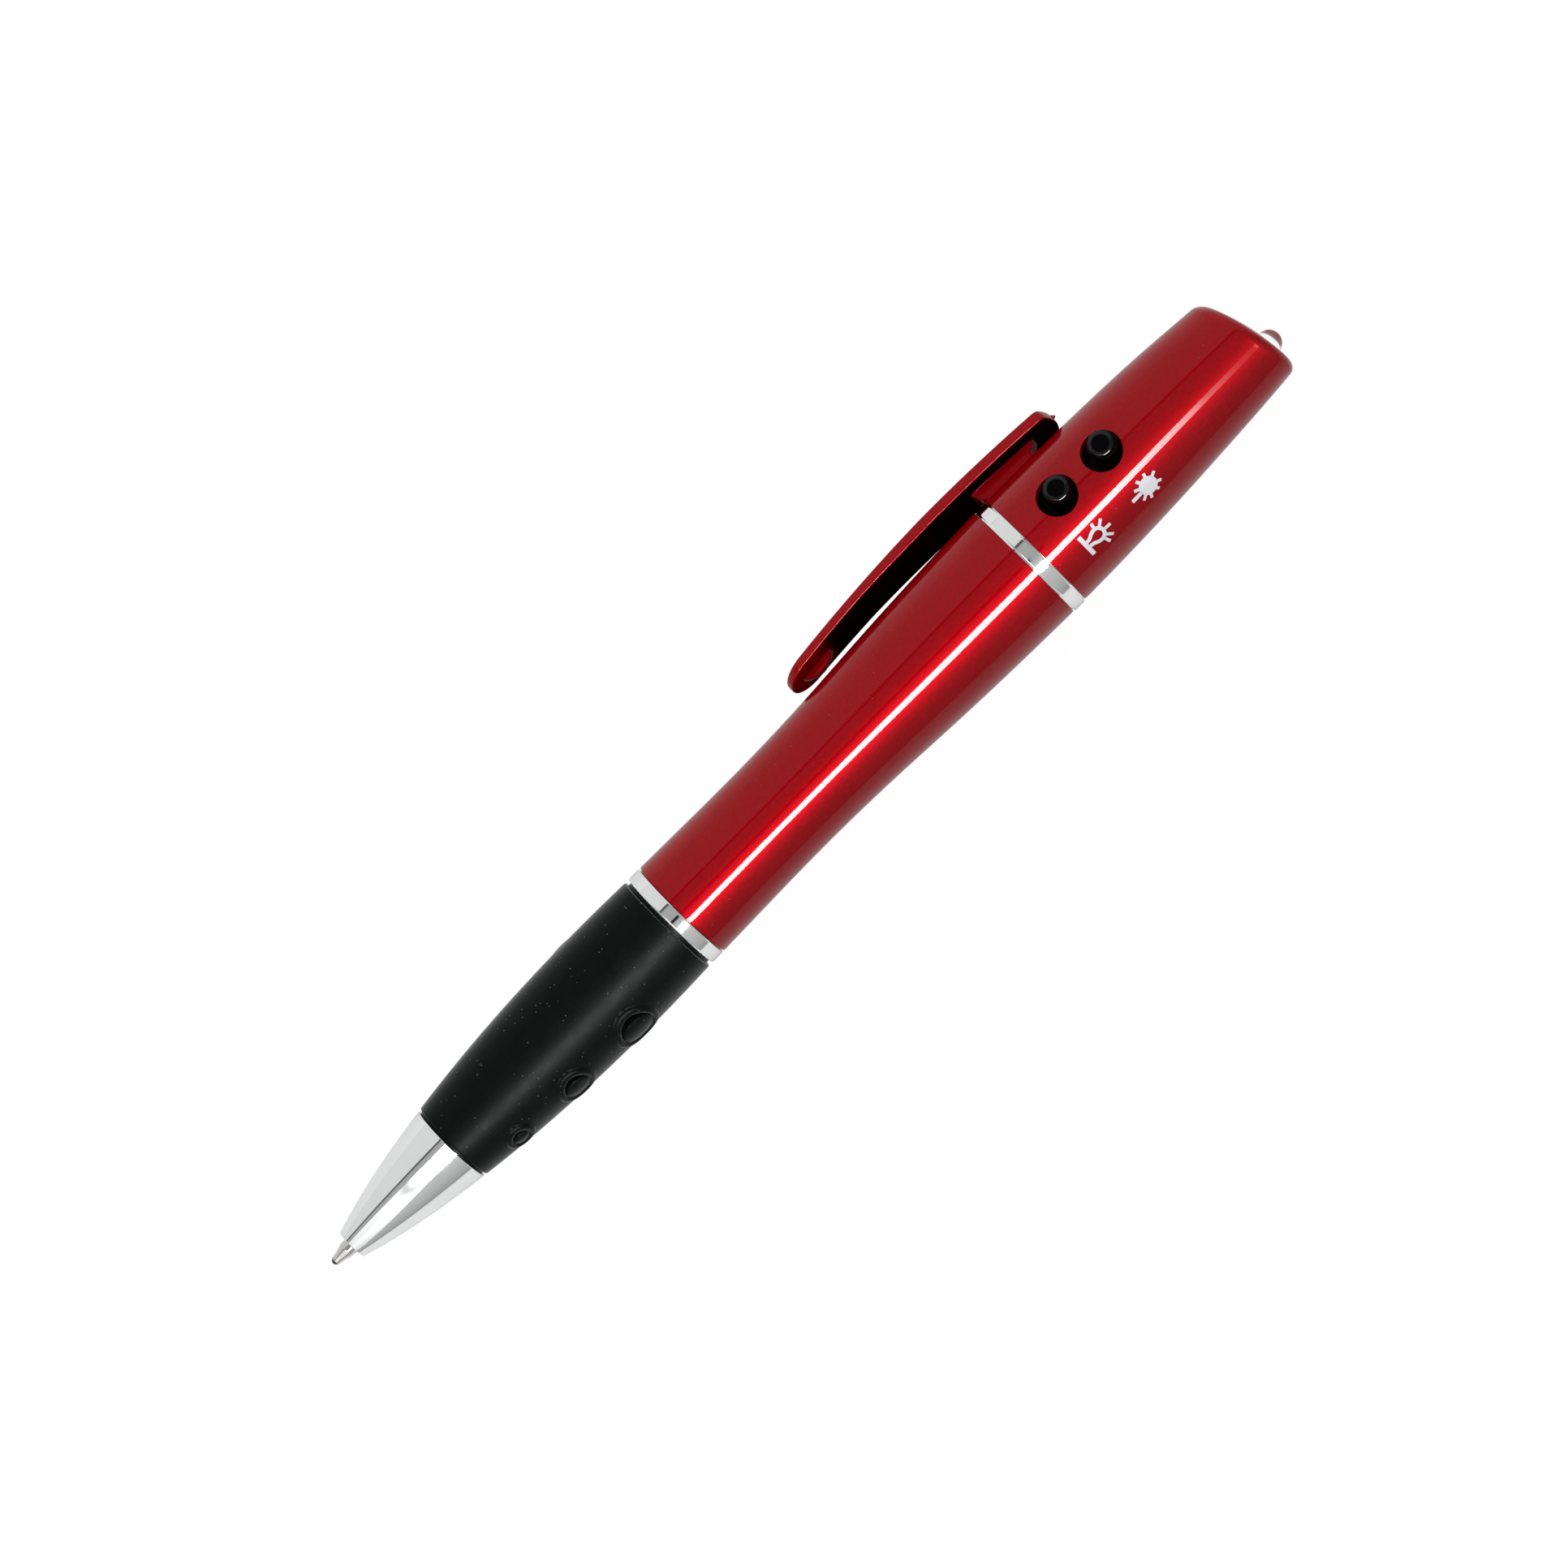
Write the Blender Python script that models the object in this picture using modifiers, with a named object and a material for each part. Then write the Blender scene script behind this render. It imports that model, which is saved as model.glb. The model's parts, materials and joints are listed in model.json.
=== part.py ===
"""Twist-action ballpoint pen with a laser pointer and an LED light in its head.

The pen is drawn in its own frame: +Z runs from the writing ball to the lamp end, +X is the clip's side and
+Y the side with the two push buttons. One empty then lays it on a table, on its grip and its upper ring.
"""

import math

import bmesh
import bpy
from mathutils import Matrix, Vector

MM = 0.001

# Lengths along the pen
TIP_PROJECTION = 2.95 * MM
NOSE_LENGTH = 15.80 * MM
GRIP_LENGTH = 34.10 * MM
RING_WIDTH = 1.75 * MM
BARREL_LENGTH = 53.80 * MM
HEAD_LENGTH = 33.75 * MM

# Outer radii
NOSE_MOUTH_RADIUS = 1.83 * MM
NOSE_BASE_RADIUS = 5.06 * MM
GRIP_FRONT_RADIUS = 5.10 * MM
GRIP_SWELL_RADIUS = 6.66 * MM
GRIP_REAR_RADIUS = 6.50 * MM
GRIP_SWELL_AT = 25.40 * MM
LOWER_RING_RADIUS = 6.48 * MM
BARREL_FRONT_RADIUS = 6.50 * MM
BARREL_WAIST_RADIUS = 6.30 * MM
BARREL_WAIST_AT = 14.90 * MM
BARREL_FLARE_RADIUS = 6.83 * MM
BARREL_FLARE_BEFORE_END = 22.60 * MM
BARREL_REAR_RADIUS = 7.69 * MM
UPPER_RING_RADIUS = 7.72 * MM
RING_CROWN = 0.06 * MM
RING_EDGE = 0.12 * MM
HEAD_FRONT_RADIUS = 7.66 * MM
HEAD_RIM_RADIUS = 6.38 * MM

# The slanted, domed lamp end
END_SLOPE = 0.22
END_DOME_RADIUS = 24.0 * MM
END_FILLET = 1.30 * MM
SLANT_LENGTH = 14.0 * MM

# Gaps between pieces
SEAM = 0.05 * MM
TWIST_GAP = 0.15 * MM
CLEARANCE = 0.10 * MM
SEAT_GAP = 0.10 * MM
OVERCUT = 1.00 * MM

# Refill
BALL_RADIUS = 0.50 * MM
BALL_GAP = 0.05 * MM
BALL_SHOW = 0.40 * MM
BALL_SEAT_STEP = math.radians(24)
POINT_RADIUS = 1.00 * MM
POINT_CONE_LENGTH = 2.10 * MM
POINT_LIP_WALL = 0.02 * MM
POINT_LENGTH = 16.20 * MM
COLLAR_RADIUS = 2.05 * MM
COLLAR_WIDTH = 0.80 * MM
INK_TUBE_RADIUS = 1.55 * MM
INK_TUBE_BORE = 1.00 * MM
POINT_TAIL_LENGTH = 3.00 * MM

# Nose, grip core and grip
NOSE_THROAT_LENGTH = 5.10 * MM
SPRING_GAP = 0.25 * MM
CORE_NOSE_RADIUS = 3.50 * MM
CORE_NOSE_LENGTH = 4.40 * MM
CORE_RADIUS = 4.30 * MM
CORE_SHOULDER_WIDTH = 0.40 * MM
PAD_DEPTH = 0.55 * MM
PAD_RIM_RADIUS = 0.42 * MM
PAD_RIM_RISE = 0.12 * MM
PAD_FLOOR_INSET = 0.28 * MM
PAD_STEPS = 16
PAD_RADII = (1.38 * MM, 1.98 * MM, 2.44 * MM)
PAD_PLACES = (6.10 * MM, 14.50 * MM, 23.70 * MM)
PAD_ANGLE = 172.0

# Return spring
SPRING_RADIUS = 1.75 * MM
SPRING_WIRE_RADIUS = 0.18 * MM
SPRING_TURNS = 6

# Twist mechanism
SPIGOT_RADIUS = 4.90 * MM
SPIGOT_DEPTH = 5.00 * MM
TENON_RADIUS = 5.75 * MM
TENON_LENGTH = 1.10 * MM
GUIDE_RADIUS = 3.30 * MM
GUIDE_BORE = 2.55 * MM
CAM_LAND = 3.00 * MM
CAM_OFFSET = 1.20 * MM
LUG_RADIUS = 0.75 * MM
LUG_REACH = 4.60 * MM
LUG_GAP = 0.20 * MM
TWIST_TRAVEL = 5.00 * MM
TWIST_TURN = math.pi
FOLLOWER_LENGTH = 6.00 * MM
FOLLOWER_SOCKET = 3.00 * MM

# Cells and their contacts
CELL_RADIUS = 5.80 * MM
CELL_HEIGHT = 5.40 * MM
CELL_CAP_STEP = 1.00 * MM
CELL_CAP_HEIGHT = 0.55 * MM
CELL_EDGE = 0.25 * MM
CELL_COUNT = 3
CELL_RECESS = 0.95 * MM
CELL_GAP = 0.15 * MM
STOP_THICKNESS = 1.40 * MM
LOWER_CONTACT_HEIGHT = 4.00 * MM
UPPER_CONTACT_HEIGHT = 4.20 * MM
CONTACT_WIDE_RADIUS = 4.20 * MM
CONTACT_NARROW_RADIUS = 2.40 * MM
CONTACT_WIRE_RADIUS = 0.28 * MM
CONTACT_TURNS = 3
STRIP_WIDTH = 1.60 * MM
STRIP_THICKNESS = 0.25 * MM

# Screwed joint between barrel and head
COUPLING_WALL = 0.65 * MM
COUPLING_DEPTH = 5.20 * MM
COUPLING_RISE = 3.10 * MM
HEAD_WALL = 1.20 * MM

# Electronics in the head
BOARD_WIDTH = 8.00 * MM
BOARD_THICKNESS = 1.00 * MM
BOARD_TOP = 1.20 * MM
BOARD_LENGTH = 15.60 * MM
DISC_THICKNESS = 1.20 * MM
BUTTON_PLACES = (5.74 * MM, 12.60 * MM)
BUTTON_HOLE_GAP = 0.20 * MM
BUTTON_OFFSET = 0.45 * MM
BUTTON_RADIUS = 1.75 * MM
BUTTON_RISE = 1.72 * MM
BUTTON_FLANGE_STEP = 0.30 * MM
BUTTON_TRAVEL = 0.25 * MM
BUTTON_EDGE = 0.30 * MM
SWITCH_SIDE = 6.00 * MM
SWITCH_HEIGHT = 2.90 * MM
SWITCH_WELL_GAP = 0.20 * MM
SWITCH_WELL_DEPTH = 1.60 * MM
SWITCH_PLATE = 0.20 * MM
SWITCH_PLATE_INSET = 0.20 * MM
SWITCH_EDGE = 0.20 * MM
DOME_GAP = 0.30 * MM
DOME_HEIGHT = 0.36 * MM
DOME_THICKNESS = 0.12 * MM
CHIP_LENGTH = 2.00 * MM
CHIP_WIDTH = 1.25 * MM
CHIP_HEIGHT = 0.50 * MM
CARRIER_RADIUS = 5.60 * MM

# Lamps
LED_RADIUS = 1.45 * MM
LED_FLANGE_STEP = 0.45 * MM
LED_FLANGE = 0.90 * MM
LED_OFFSET = 2.40 * MM
LED_PROJECTION = 1.42 * MM
LED_LEAD_RADIUS = 0.25 * MM
LED_LEAD_SPACING = 2.54 * MM
LASER_WALL = 0.45 * MM
LASER_LENGTH = 10.80 * MM
LASER_APERTURE = 1.10 * MM
LASER_LIP = 0.80 * MM
LENS_RADIUS = 1.65 * MM
LENS_THICKNESS = 1.10 * MM
LENS_SAG = 0.40 * MM
DIODE_LENGTH = 3.40 * MM
DIODE_CAN_RADIUS = 1.15 * MM
DIODE_FLANGE = 1.20 * MM
HOLDER_GAP = 0.18 * MM
HOLDER_WALL = 0.40 * MM
HOLDER_LENGTH = 4.40 * MM

# Clip
CLIP_BELOW_RING = 28.10 * MM
CLIP_ABOVE_RING = 11.75 * MM
CLIP_CROWN_BELOW_RING = 4.70 * MM
CLIP_RISE = 3.14 * MM
CLIP_BOW_RADIUS = 208.0 * MM
CLIP_THICKNESS = 1.10 * MM
CLIP_WIDTH = 7.90 * MM
CLIP_TIP_WIDTH = 6.60 * MM
CLIP_CORNER = 0.90 * MM
CLIP_END_BOW = 0.60 * MM
CLIP_EDGE = 0.20 * MM
FOOT_WIDTH = 2.80 * MM
FOOT_LENGTH = 7.70 * MM
FOOT_FRONT_SPREAD = 0.65 * MM
FOOT_REAR_SPREAD = 2.10 * MM
FOOT_BASE_STEP = 0.30 * MM
FOOT_OVERHANG = 0.45 * MM
FOOT_BARB_WIDTH = 4.20 * MM
FOOT_BARB_LENGTH = 3.60 * MM
FOOT_BARB_HEIGHT = 1.10 * MM
FOOT_BARB_GAP = 0.40 * MM
FOOT_BARB_EDGE = 0.20 * MM
FOOT_OVERLAP = 0.50 * MM
SLOT_GAP = 0.20 * MM
RIB_LENGTH = 4.80 * MM
RIB_DEPTH = 1.05 * MM
RIB_WIDTH = 0.95 * MM
RIB_FROM_TIP = 3.90 * MM

# How the pen lies on the table
REST_ROLL = math.radians(20.0)

# Facets round the turned pieces
FINE_STEPS = 32
PLAIN_STEPS = 20
SMALL_STEPS = 16
WIRE_STEPS = 12
MERGE_DISTANCE = 0.002 * MM

# Stations along the pen, worked out from the lengths above
NOSE_START = TIP_PROJECTION
GRIP_START = NOSE_START + NOSE_LENGTH + SEAM
GRIP_END = GRIP_START + GRIP_LENGTH
LOWER_RING_START = GRIP_END + TWIST_GAP
BARREL_START = LOWER_RING_START + RING_WIDTH + SEAM
BARREL_END = BARREL_START + BARREL_LENGTH
UPPER_RING_START = BARREL_END + SEAM
HEAD_START = UPPER_RING_START + RING_WIDTH + SEAM
HEAD_END = HEAD_START + HEAD_LENGTH
CORE_BORE = COLLAR_RADIUS + SPRING_GAP
MECHANISM_BORE = SPIGOT_RADIUS + CLEARANCE
CAM_BORE = GUIDE_RADIUS + TWIST_GAP
CAM_START = BARREL_START + SPIGOT_DEPTH + CAM_OFFSET
LUG_PLACE = CAM_START + CAM_LAND + LUG_RADIUS + LUG_GAP
CAM_END = LUG_PLACE + TWIST_TRAVEL + LUG_RADIUS + LUG_GAP + CAM_LAND
FOLLOWER_START = LUG_PLACE - FOLLOWER_LENGTH / 2
POINT_END = POINT_LENGTH + COLLAR_WIDTH
CELL_CAP_RADIUS = CELL_RADIUS - CELL_CAP_STEP
BATTERY_BORE = CELL_RADIUS + CELL_GAP
CELLS_END = BARREL_END - CELL_RECESS
CELLS_START = CELLS_END - CELL_COUNT * (CELL_HEIGHT + SEAT_GAP)
STOP_START = CELLS_START - LOWER_CONTACT_HEIGHT - STOP_THICKNESS - SEAT_GAP
COUPLING_START = BARREL_END - COUPLING_DEPTH
COUPLING_END = HEAD_START + COUPLING_RISE
COUPLING_RADIUS = BATTERY_BORE + COUPLING_WALL
COUPLING_SOCKET = COUPLING_RADIUS + CLEARANCE
DISC_START = CELLS_END + UPPER_CONTACT_HEIGHT + SEAT_GAP
BOARD_START = DISC_START + DISC_THICKNESS + SEAT_GAP
BOARD_END = BOARD_START + BOARD_LENGTH
BUTTON_HOLE_RADIUS = BUTTON_RADIUS + BUTTON_OFFSET + BUTTON_HOLE_GAP
BUTTON_FLANGE_RADIUS = BUTTON_RADIUS + BUTTON_FLANGE_STEP
SWITCH_WELL_RADIUS = BUTTON_FLANGE_RADIUS + SWITCH_WELL_GAP
DOME_RADIUS = SWITCH_WELL_RADIUS - DOME_GAP
SLANT_START = HEAD_END - SLANT_LENGTH
CLIP_TIP = UPPER_RING_START - CLIP_BELOW_RING
CLIP_END = HEAD_START + CLIP_ABOVE_RING
CLIP_CROWN = UPPER_RING_START - CLIP_CROWN_BELOW_RING
CLIP_TOP = HEAD_FRONT_RADIUS + CLIP_RISE
FOOT_START = HEAD_START - FOOT_OVERHANG
FOOT_END = FOOT_START + FOOT_LENGTH
LASER_BORE = LENS_RADIUS + CLEARANCE
LASER_RADIUS = LASER_BORE + LASER_WALL
HOLDER_RADIUS = HEAD_RIM_RADIUS - HEAD_WALL - HOLDER_GAP
LASER_OFFSET = HOLDER_RADIUS - HOLDER_WALL - LASER_RADIUS
LASER_FACE = HEAD_END - END_SLOPE * LASER_OFFSET - LASER_OFFSET**2 / (2 * END_DOME_RADIUS)
LASER_EDGE = LASER_OFFSET + LASER_RADIUS
LASER_DROP = END_SLOPE * LASER_EDGE + LASER_EDGE**2 / (2 * END_DOME_RADIUS)
LASER_END = HEAD_END - HEAD_WALL - LASER_DROP - END_FILLET / 2 - SEAT_GAP
LASER_START = LASER_END - LASER_LENGTH
LED_FLANGE_RADIUS = LED_RADIUS + LED_FLANGE_STEP
LED_FACE = HEAD_END + END_SLOPE * LED_OFFSET - LED_OFFSET**2 / (2 * END_DOME_RADIUS)
LED_DOME_CENTRE = LED_FACE + LED_PROJECTION - LED_RADIUS
LED_FLANGE_END = LED_FACE - HEAD_WALL - END_SLOPE * LED_FLANGE_RADIUS - 2 * SEAT_GAP
LED_START = LED_FLANGE_END - LED_FLANGE
HOLDER_DROP = END_SLOPE * HOLDER_RADIUS + HOLDER_RADIUS**2 / (2 * END_DOME_RADIUS)
HOLDER_END = HEAD_END - HEAD_WALL - HOLDER_DROP - END_FILLET / 2 - SEAT_GAP
HOLDER_START = HOLDER_END - HOLDER_LENGTH


def empty_the_scene():
    for thing in list(bpy.data.objects):
        bpy.data.objects.remove(thing, do_unlink=True)


def new_collection(name):
    collection = bpy.data.collections.new(name)
    bpy.context.scene.collection.children.link(collection)
    return collection


empty_the_scene()
PEN = new_collection("laser_pointer_pen")
CUTTERS = new_collection("cutters")


def finish(name, colour, roughness, metallic=0.0):
    """A plain Principled material."""
    material = bpy.data.materials.new(name)
    material.use_nodes = True
    shader = material.node_tree.nodes["Principled BSDF"]
    shader.inputs["Base Color"].default_value = (*colour, 1.0)
    shader.inputs["Roughness"].default_value = roughness
    shader.inputs["Metallic"].default_value = metallic
    return material


RED = finish("red_lacquer", (0.36, 0.012, 0.02), 0.25, 0.4)
CHROME = finish("chrome", (0.78, 0.78, 0.80), 0.08, 1.0)
NICKEL = finish("nickel", (0.55, 0.50, 0.42), 0.25, 1.0)
STEEL = finish("steel", (0.55, 0.56, 0.58), 0.30, 1.0)
BRASS = finish("brass", (0.66, 0.48, 0.20), 0.30, 1.0)
RUBBER = finish("black_rubber", (0.018, 0.018, 0.021), 0.65)
BLACK = finish("black_plastic", (0.012, 0.012, 0.013), 0.35)
WHITE = finish("natural_plastic", (0.72, 0.71, 0.67), 0.50)
GREY = finish("grey_plastic", (0.20, 0.20, 0.21), 0.50)
GREEN = finish("green_board", (0.03, 0.16, 0.07), 0.45)
CLEAR = finish("clear_resin", (0.88, 0.90, 0.94), 0.05)

FRAME = bpy.data.objects.new("pen_frame", None)
PEN.objects.link(FRAME)


def rest_matrix():
    """Lays the pen along +X on its grip's swell and its upper ring, with the clip turned below level."""
    swell = GRIP_START + GRIP_SWELL_AT
    ring = UPPER_RING_START + RING_WIDTH / 2
    tilt = math.atan2(UPPER_RING_RADIUS - GRIP_SWELL_RADIUS, ring - swell)
    side = Vector((0.0, math.cos(REST_ROLL), -math.sin(REST_ROLL)))
    top = Vector((0.0, math.sin(REST_ROLL), math.cos(REST_ROLL)))
    along = Vector((1.0, 0.0, 0.0))
    turn = Matrix((side, top, along)).transposed().to_4x4()
    return Matrix.Rotation(-tilt, 4, "Y") @ turn


def place(thing, collection=PEN, location=(0.0, 0.0, 0.0), rotation=(0.0, 0.0, 0.0)):
    collection.objects.link(thing)
    thing.parent = FRAME
    thing.location = location
    thing.rotation_euler = rotation
    return thing


def shade(mesh, material, smooth=True):
    mesh.materials.clear()
    mesh.materials.append(material)
    if smooth:
        mesh.shade_smooth()
        mesh.set_sharp_from_angle(angle=math.radians(35))


def outline_object(name, points, closed=True):
    """A flat chain of points in the XZ plane, given as (radius, height)."""
    mesh = bpy.data.meshes.new(name)
    corners = [(radius, 0.0, height) for radius, height in points]
    edges = [(i, i + 1) for i in range(len(points) - 1)]
    if closed:
        edges.append((len(points) - 1, 0))
    mesh.from_pydata(corners, edges, [])
    return bpy.data.objects.new(name, mesh)


def evaluated_mesh(thing):
    """The object's mesh with its modifiers carried out and its doubled points merged."""
    bpy.context.view_layer.update()
    graph = bpy.context.evaluated_depsgraph_get()
    mesh = bpy.data.meshes.new_from_object(thing.evaluated_get(graph))
    work = bmesh.new()
    work.from_mesh(mesh)
    bmesh.ops.remove_doubles(work, verts=work.verts, dist=MERGE_DISTANCE)
    bmesh.ops.recalc_face_normals(work, faces=work.faces)
    work.to_mesh(mesh)
    work.free()
    return mesh


def make_real(thing):
    """Swaps a curve or a modified object for a plain mesh object with the same name and place."""
    mesh = evaluated_mesh(thing)
    name = thing.name
    collection = thing.users_collection[0]
    location = thing.location.copy()
    rotation = thing.rotation_euler.copy()
    bpy.data.objects.remove(thing, do_unlink=True)
    real = bpy.data.objects.new(name, mesh)
    mesh.name = name
    return place(real, collection, location, rotation)


def turned(name, points, material, steps=PLAIN_STEPS, collection=PEN, location=(0, 0, 0), rotation=(0, 0, 0)):
    """A solid of revolution about its own Z; the outline runs down the outside and up the inside."""
    open_ends = points[0][0] == 0.0 and points[-1][0] == 0.0
    thing = outline_object(name, points, closed=not open_ends)
    place(thing, collection, location, rotation)
    screw = thing.modifiers.new("turn", "SCREW")
    screw.axis = "Z"
    screw.angle = 2 * math.pi
    screw.steps = steps
    screw.render_steps = steps
    screw.use_merge_vertices = True
    screw.merge_threshold = MERGE_DISTANCE
    thing = make_real(thing)
    shade(thing.data, material)
    return thing


def tube_outline(outer, bore, start, end):
    return [(outer, end), (outer, start), (bore, start), (bore, end)]


def rod_outline(radius, start, end):
    return [(0.0, end), (radius, end), (radius, start), (0.0, start)]


def swept_radius(start, end, count):
    """Points (radius, height) on the cubic that leaves start and reaches end with the given slopes."""
    (z0, r0, slope0), (z1, r1, slope1) = start, end
    length = z1 - z0
    points = []
    for i in range(count):
        t = i / (count - 1)
        radius = r0 * (1 + 2 * t) * (1 - t) ** 2 + r1 * t * t * (3 - 2 * t)
        radius += length * (slope0 * t * (1 - t) ** 2 + slope1 * t * t * (t - 1))
        points.append((radius, z0 + length * t))
    return points


def cutter(thing):
    thing.display_type = "WIRE"
    thing.hide_render = True
    return thing


def rod_cutter(name, radius, start, end, location=(0, 0, 0), rotation=(0, 0, 0), steps=SMALL_STEPS):
    return cutter(turned(name, rod_outline(radius, start, end), GREY, steps, CUTTERS, location, rotation))


def box(name, size, centre, material, edge=0.0, collection=PEN):
    """A block with its edges rounded by the given width."""
    mesh = bpy.data.meshes.new(name)
    work = bmesh.new()
    bmesh.ops.create_cube(work, size=1.0)
    bmesh.ops.scale(work, vec=size, verts=work.verts)
    work.to_mesh(mesh)
    work.free()
    thing = place(bpy.data.objects.new(name, mesh), collection, centre)
    if edge:
        bevel = thing.modifiers.new("edges", "BEVEL")
        bevel.width = edge
        bevel.segments = 2
    shade(mesh, material, smooth=False)
    return thing


def combine(thing, tool, operation="DIFFERENCE"):
    modifier = thing.modifiers.new(tool.name, "BOOLEAN")
    modifier.operation = operation
    modifier.solver = "EXACT"
    modifier.object = tool
    return thing


def settle(thing, material):
    """Carries out the cuts and shades the result."""
    thing = make_real(thing)
    shade(thing.data, material)
    return thing


def nose_profile():
    base = NOSE_START + NOSE_LENGTH
    return swept_radius((NOSE_START, NOSE_MOUTH_RADIUS, 0.31), (base, NOSE_BASE_RADIUS, 0.13), 7)


def grip_profile():
    swell = GRIP_START + GRIP_SWELL_AT
    front = swept_radius((GRIP_START, GRIP_FRONT_RADIUS, 0.13), (swell, GRIP_SWELL_RADIUS, 0.0), 7)
    rear = swept_radius((swell, GRIP_SWELL_RADIUS, 0.0), (GRIP_END, GRIP_REAR_RADIUS, -0.035), 4)
    return front + rear[1:]


def barrel_profile():
    waist = (BARREL_START + BARREL_WAIST_AT, BARREL_WAIST_RADIUS, 0.0)
    flare = (BARREL_END - BARREL_FLARE_BEFORE_END, BARREL_FLARE_RADIUS, 0.066)
    front = swept_radius((BARREL_START, BARREL_FRONT_RADIUS, -0.012), waist, 4)
    middle = swept_radius(waist, flare, 5)
    rear = swept_radius(flare, (BARREL_END, BARREL_REAR_RADIUS, 0.018), 5)
    return front + middle[1:] + rear[1:]


def head_profile(offset=0.0, count=7, corner_count=4):
    """The head's side, corner fillet and domed end before the slant, moved inwards by offset."""
    dome_radius = END_DOME_RADIUS - offset
    fillet = END_FILLET - offset / 2
    rim = HEAD_RIM_RADIUS - offset
    dome_top = HEAD_END - offset
    lean = math.asin((rim - fillet) / (dome_radius - fillet))
    middle = dome_top - dome_radius + (dome_radius - fillet) * math.cos(lean)
    side = swept_radius((HEAD_START, HEAD_FRONT_RADIUS - offset, 0.0), (middle, rim, -0.085), count)
    corner = []
    for i in range(1, corner_count + 1):
        angle = (math.pi / 2 - lean) * i / corner_count
        corner.append((rim - fillet * (1 - math.cos(angle)), middle + fillet * math.sin(angle)))
    half = lean / 2
    dome = [(dome_radius * math.sin(half), dome_top - dome_radius * (1 - math.cos(half)))]
    return side + corner + dome + [(0.0, dome_top)]


def slant(mesh):
    """Slides the points near the lamp end along the pen, so that the clip's side is the shorter one."""
    for vertex in mesh.vertices:
        reach = (vertex.co.z - SLANT_START) / (SLANT_LENGTH - END_FILLET)
        share = min(max(reach, 0.0), 1.0)
        weight = share * share * (3 - 2 * share)
        vertex.co.z -= END_SLOPE * vertex.co.x * weight


def coil_points(start, end, start_radius, end_radius, turns, per_turn=8):
    """Points of a helix whose radius changes evenly from one end to the other."""
    count = turns * per_turn
    points = []
    for i in range(count + 1):
        t = i / count
        radius = start_radius + (end_radius - start_radius) * t
        angle = 2 * math.pi * turns * t
        points.append((radius * math.cos(angle), radius * math.sin(angle), start + (end - start) * t))
    return points


def least_gap(points, wire_radius, per_turn=8):
    """Smallest clear distance between points that are at least half a turn apart."""
    best = math.inf
    for i, first in enumerate(points):
        for second in points[i + per_turn // 2 :]:
            best = min(best, math.dist(first, second))
    return best - 2 * wire_radius


def wire(name, points, radius, material, sides=1, collection=PEN):
    """A round wire through the points, closed at both ends."""
    curve = bpy.data.curves.new(name, "CURVE")
    curve.dimensions = "3D"
    curve.bevel_depth = radius
    curve.bevel_resolution = sides
    curve.use_fill_caps = True
    spline = curve.splines.new("POLY")
    spline.points.add(len(points) - 1)
    for spot, point in zip(spline.points, points):
        spot.co = (*point, 1.0)
    thing = make_real(place(bpy.data.objects.new(name, curve), collection))
    shade(thing.data, material)
    return thing


def make_spring(name, start, end, start_radius, end_radius, turns, wire_radius, material):
    points = coil_points(start + wire_radius, end - wire_radius, start_radius, end_radius, turns)
    print(name, "least gap between turns, mm:", round(least_gap(points, wire_radius) / MM, 2))
    return wire(name, points, wire_radius, material)


def make_refill():
    """Ball, point with its spring collar, and the ink tube pressed on the point's tail."""
    ball = bpy.data.meshes.new("refill_ball")
    work = bmesh.new()
    bmesh.ops.create_uvsphere(work, u_segments=14, v_segments=8, radius=BALL_RADIUS)
    work.to_mesh(ball)
    work.free()
    shade(ball, STEEL)
    place(bpy.data.objects.new("refill_ball", ball), location=(0, 0, BALL_RADIUS))

    socket = BALL_RADIUS + BALL_GAP
    mouth = math.sqrt(socket**2 - (BALL_SHOW - BALL_RADIUS) ** 2)
    seat = []
    for i in range(5):
        angle = math.asin((BALL_SHOW - BALL_RADIUS) / socket) + i * BALL_SEAT_STEP
        seat.append((socket * math.cos(angle), BALL_RADIUS + socket * math.sin(angle)))
    point = [
        (0.0, POINT_END + POINT_TAIL_LENGTH),
        (INK_TUBE_BORE - CLEARANCE, POINT_END + POINT_TAIL_LENGTH),
        (INK_TUBE_BORE - CLEARANCE, POINT_END),
        (COLLAR_RADIUS, POINT_END),
        (COLLAR_RADIUS, POINT_LENGTH),
        (POINT_RADIUS, POINT_LENGTH),
        (POINT_RADIUS, BALL_SHOW + POINT_CONE_LENGTH),
        (mouth + POINT_LIP_WALL, BALL_SHOW),
    ]
    turned("refill_point", point + seat + [(0.0, BALL_RADIUS + socket)], NICKEL, SMALL_STEPS)

    tube_end = FOLLOWER_START + FOLLOWER_SOCKET - SEAT_GAP
    outline = tube_outline(INK_TUBE_RADIUS, INK_TUBE_BORE, POINT_END + SEAT_GAP, tube_end)
    turned("ink_tube", outline, WHITE, SMALL_STEPS)


def make_follower():
    """Plug behind the refill, with a socket for the ink tube and two lugs that ride in the cam."""
    end = FOLLOWER_START + FOLLOWER_LENGTH
    socket = INK_TUBE_RADIUS + CLEARANCE
    outline = [
        (0.0, end),
        (GUIDE_BORE - CLEARANCE, end),
        (GUIDE_BORE - CLEARANCE, FOLLOWER_START),
        (socket, FOLLOWER_START),
        (socket, FOLLOWER_START + FOLLOWER_SOCKET),
        (0.0, FOLLOWER_START + FOLLOWER_SOCKET),
    ]
    follower = turned("cam_follower", outline, WHITE, SMALL_STEPS)
    root = socket + 2 * CLEARANCE
    for name, turn in (("lug_clip_side", math.pi / 2), ("lug_far_side", -math.pi / 2)):
        lug = rod_cutter(name, LUG_RADIUS, root, LUG_REACH, (0, 0, LUG_PLACE), (0, turn, 0), WIRE_STEPS)
        combine(follower, lug, "UNION")
    return settle(follower, WHITE)


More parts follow.
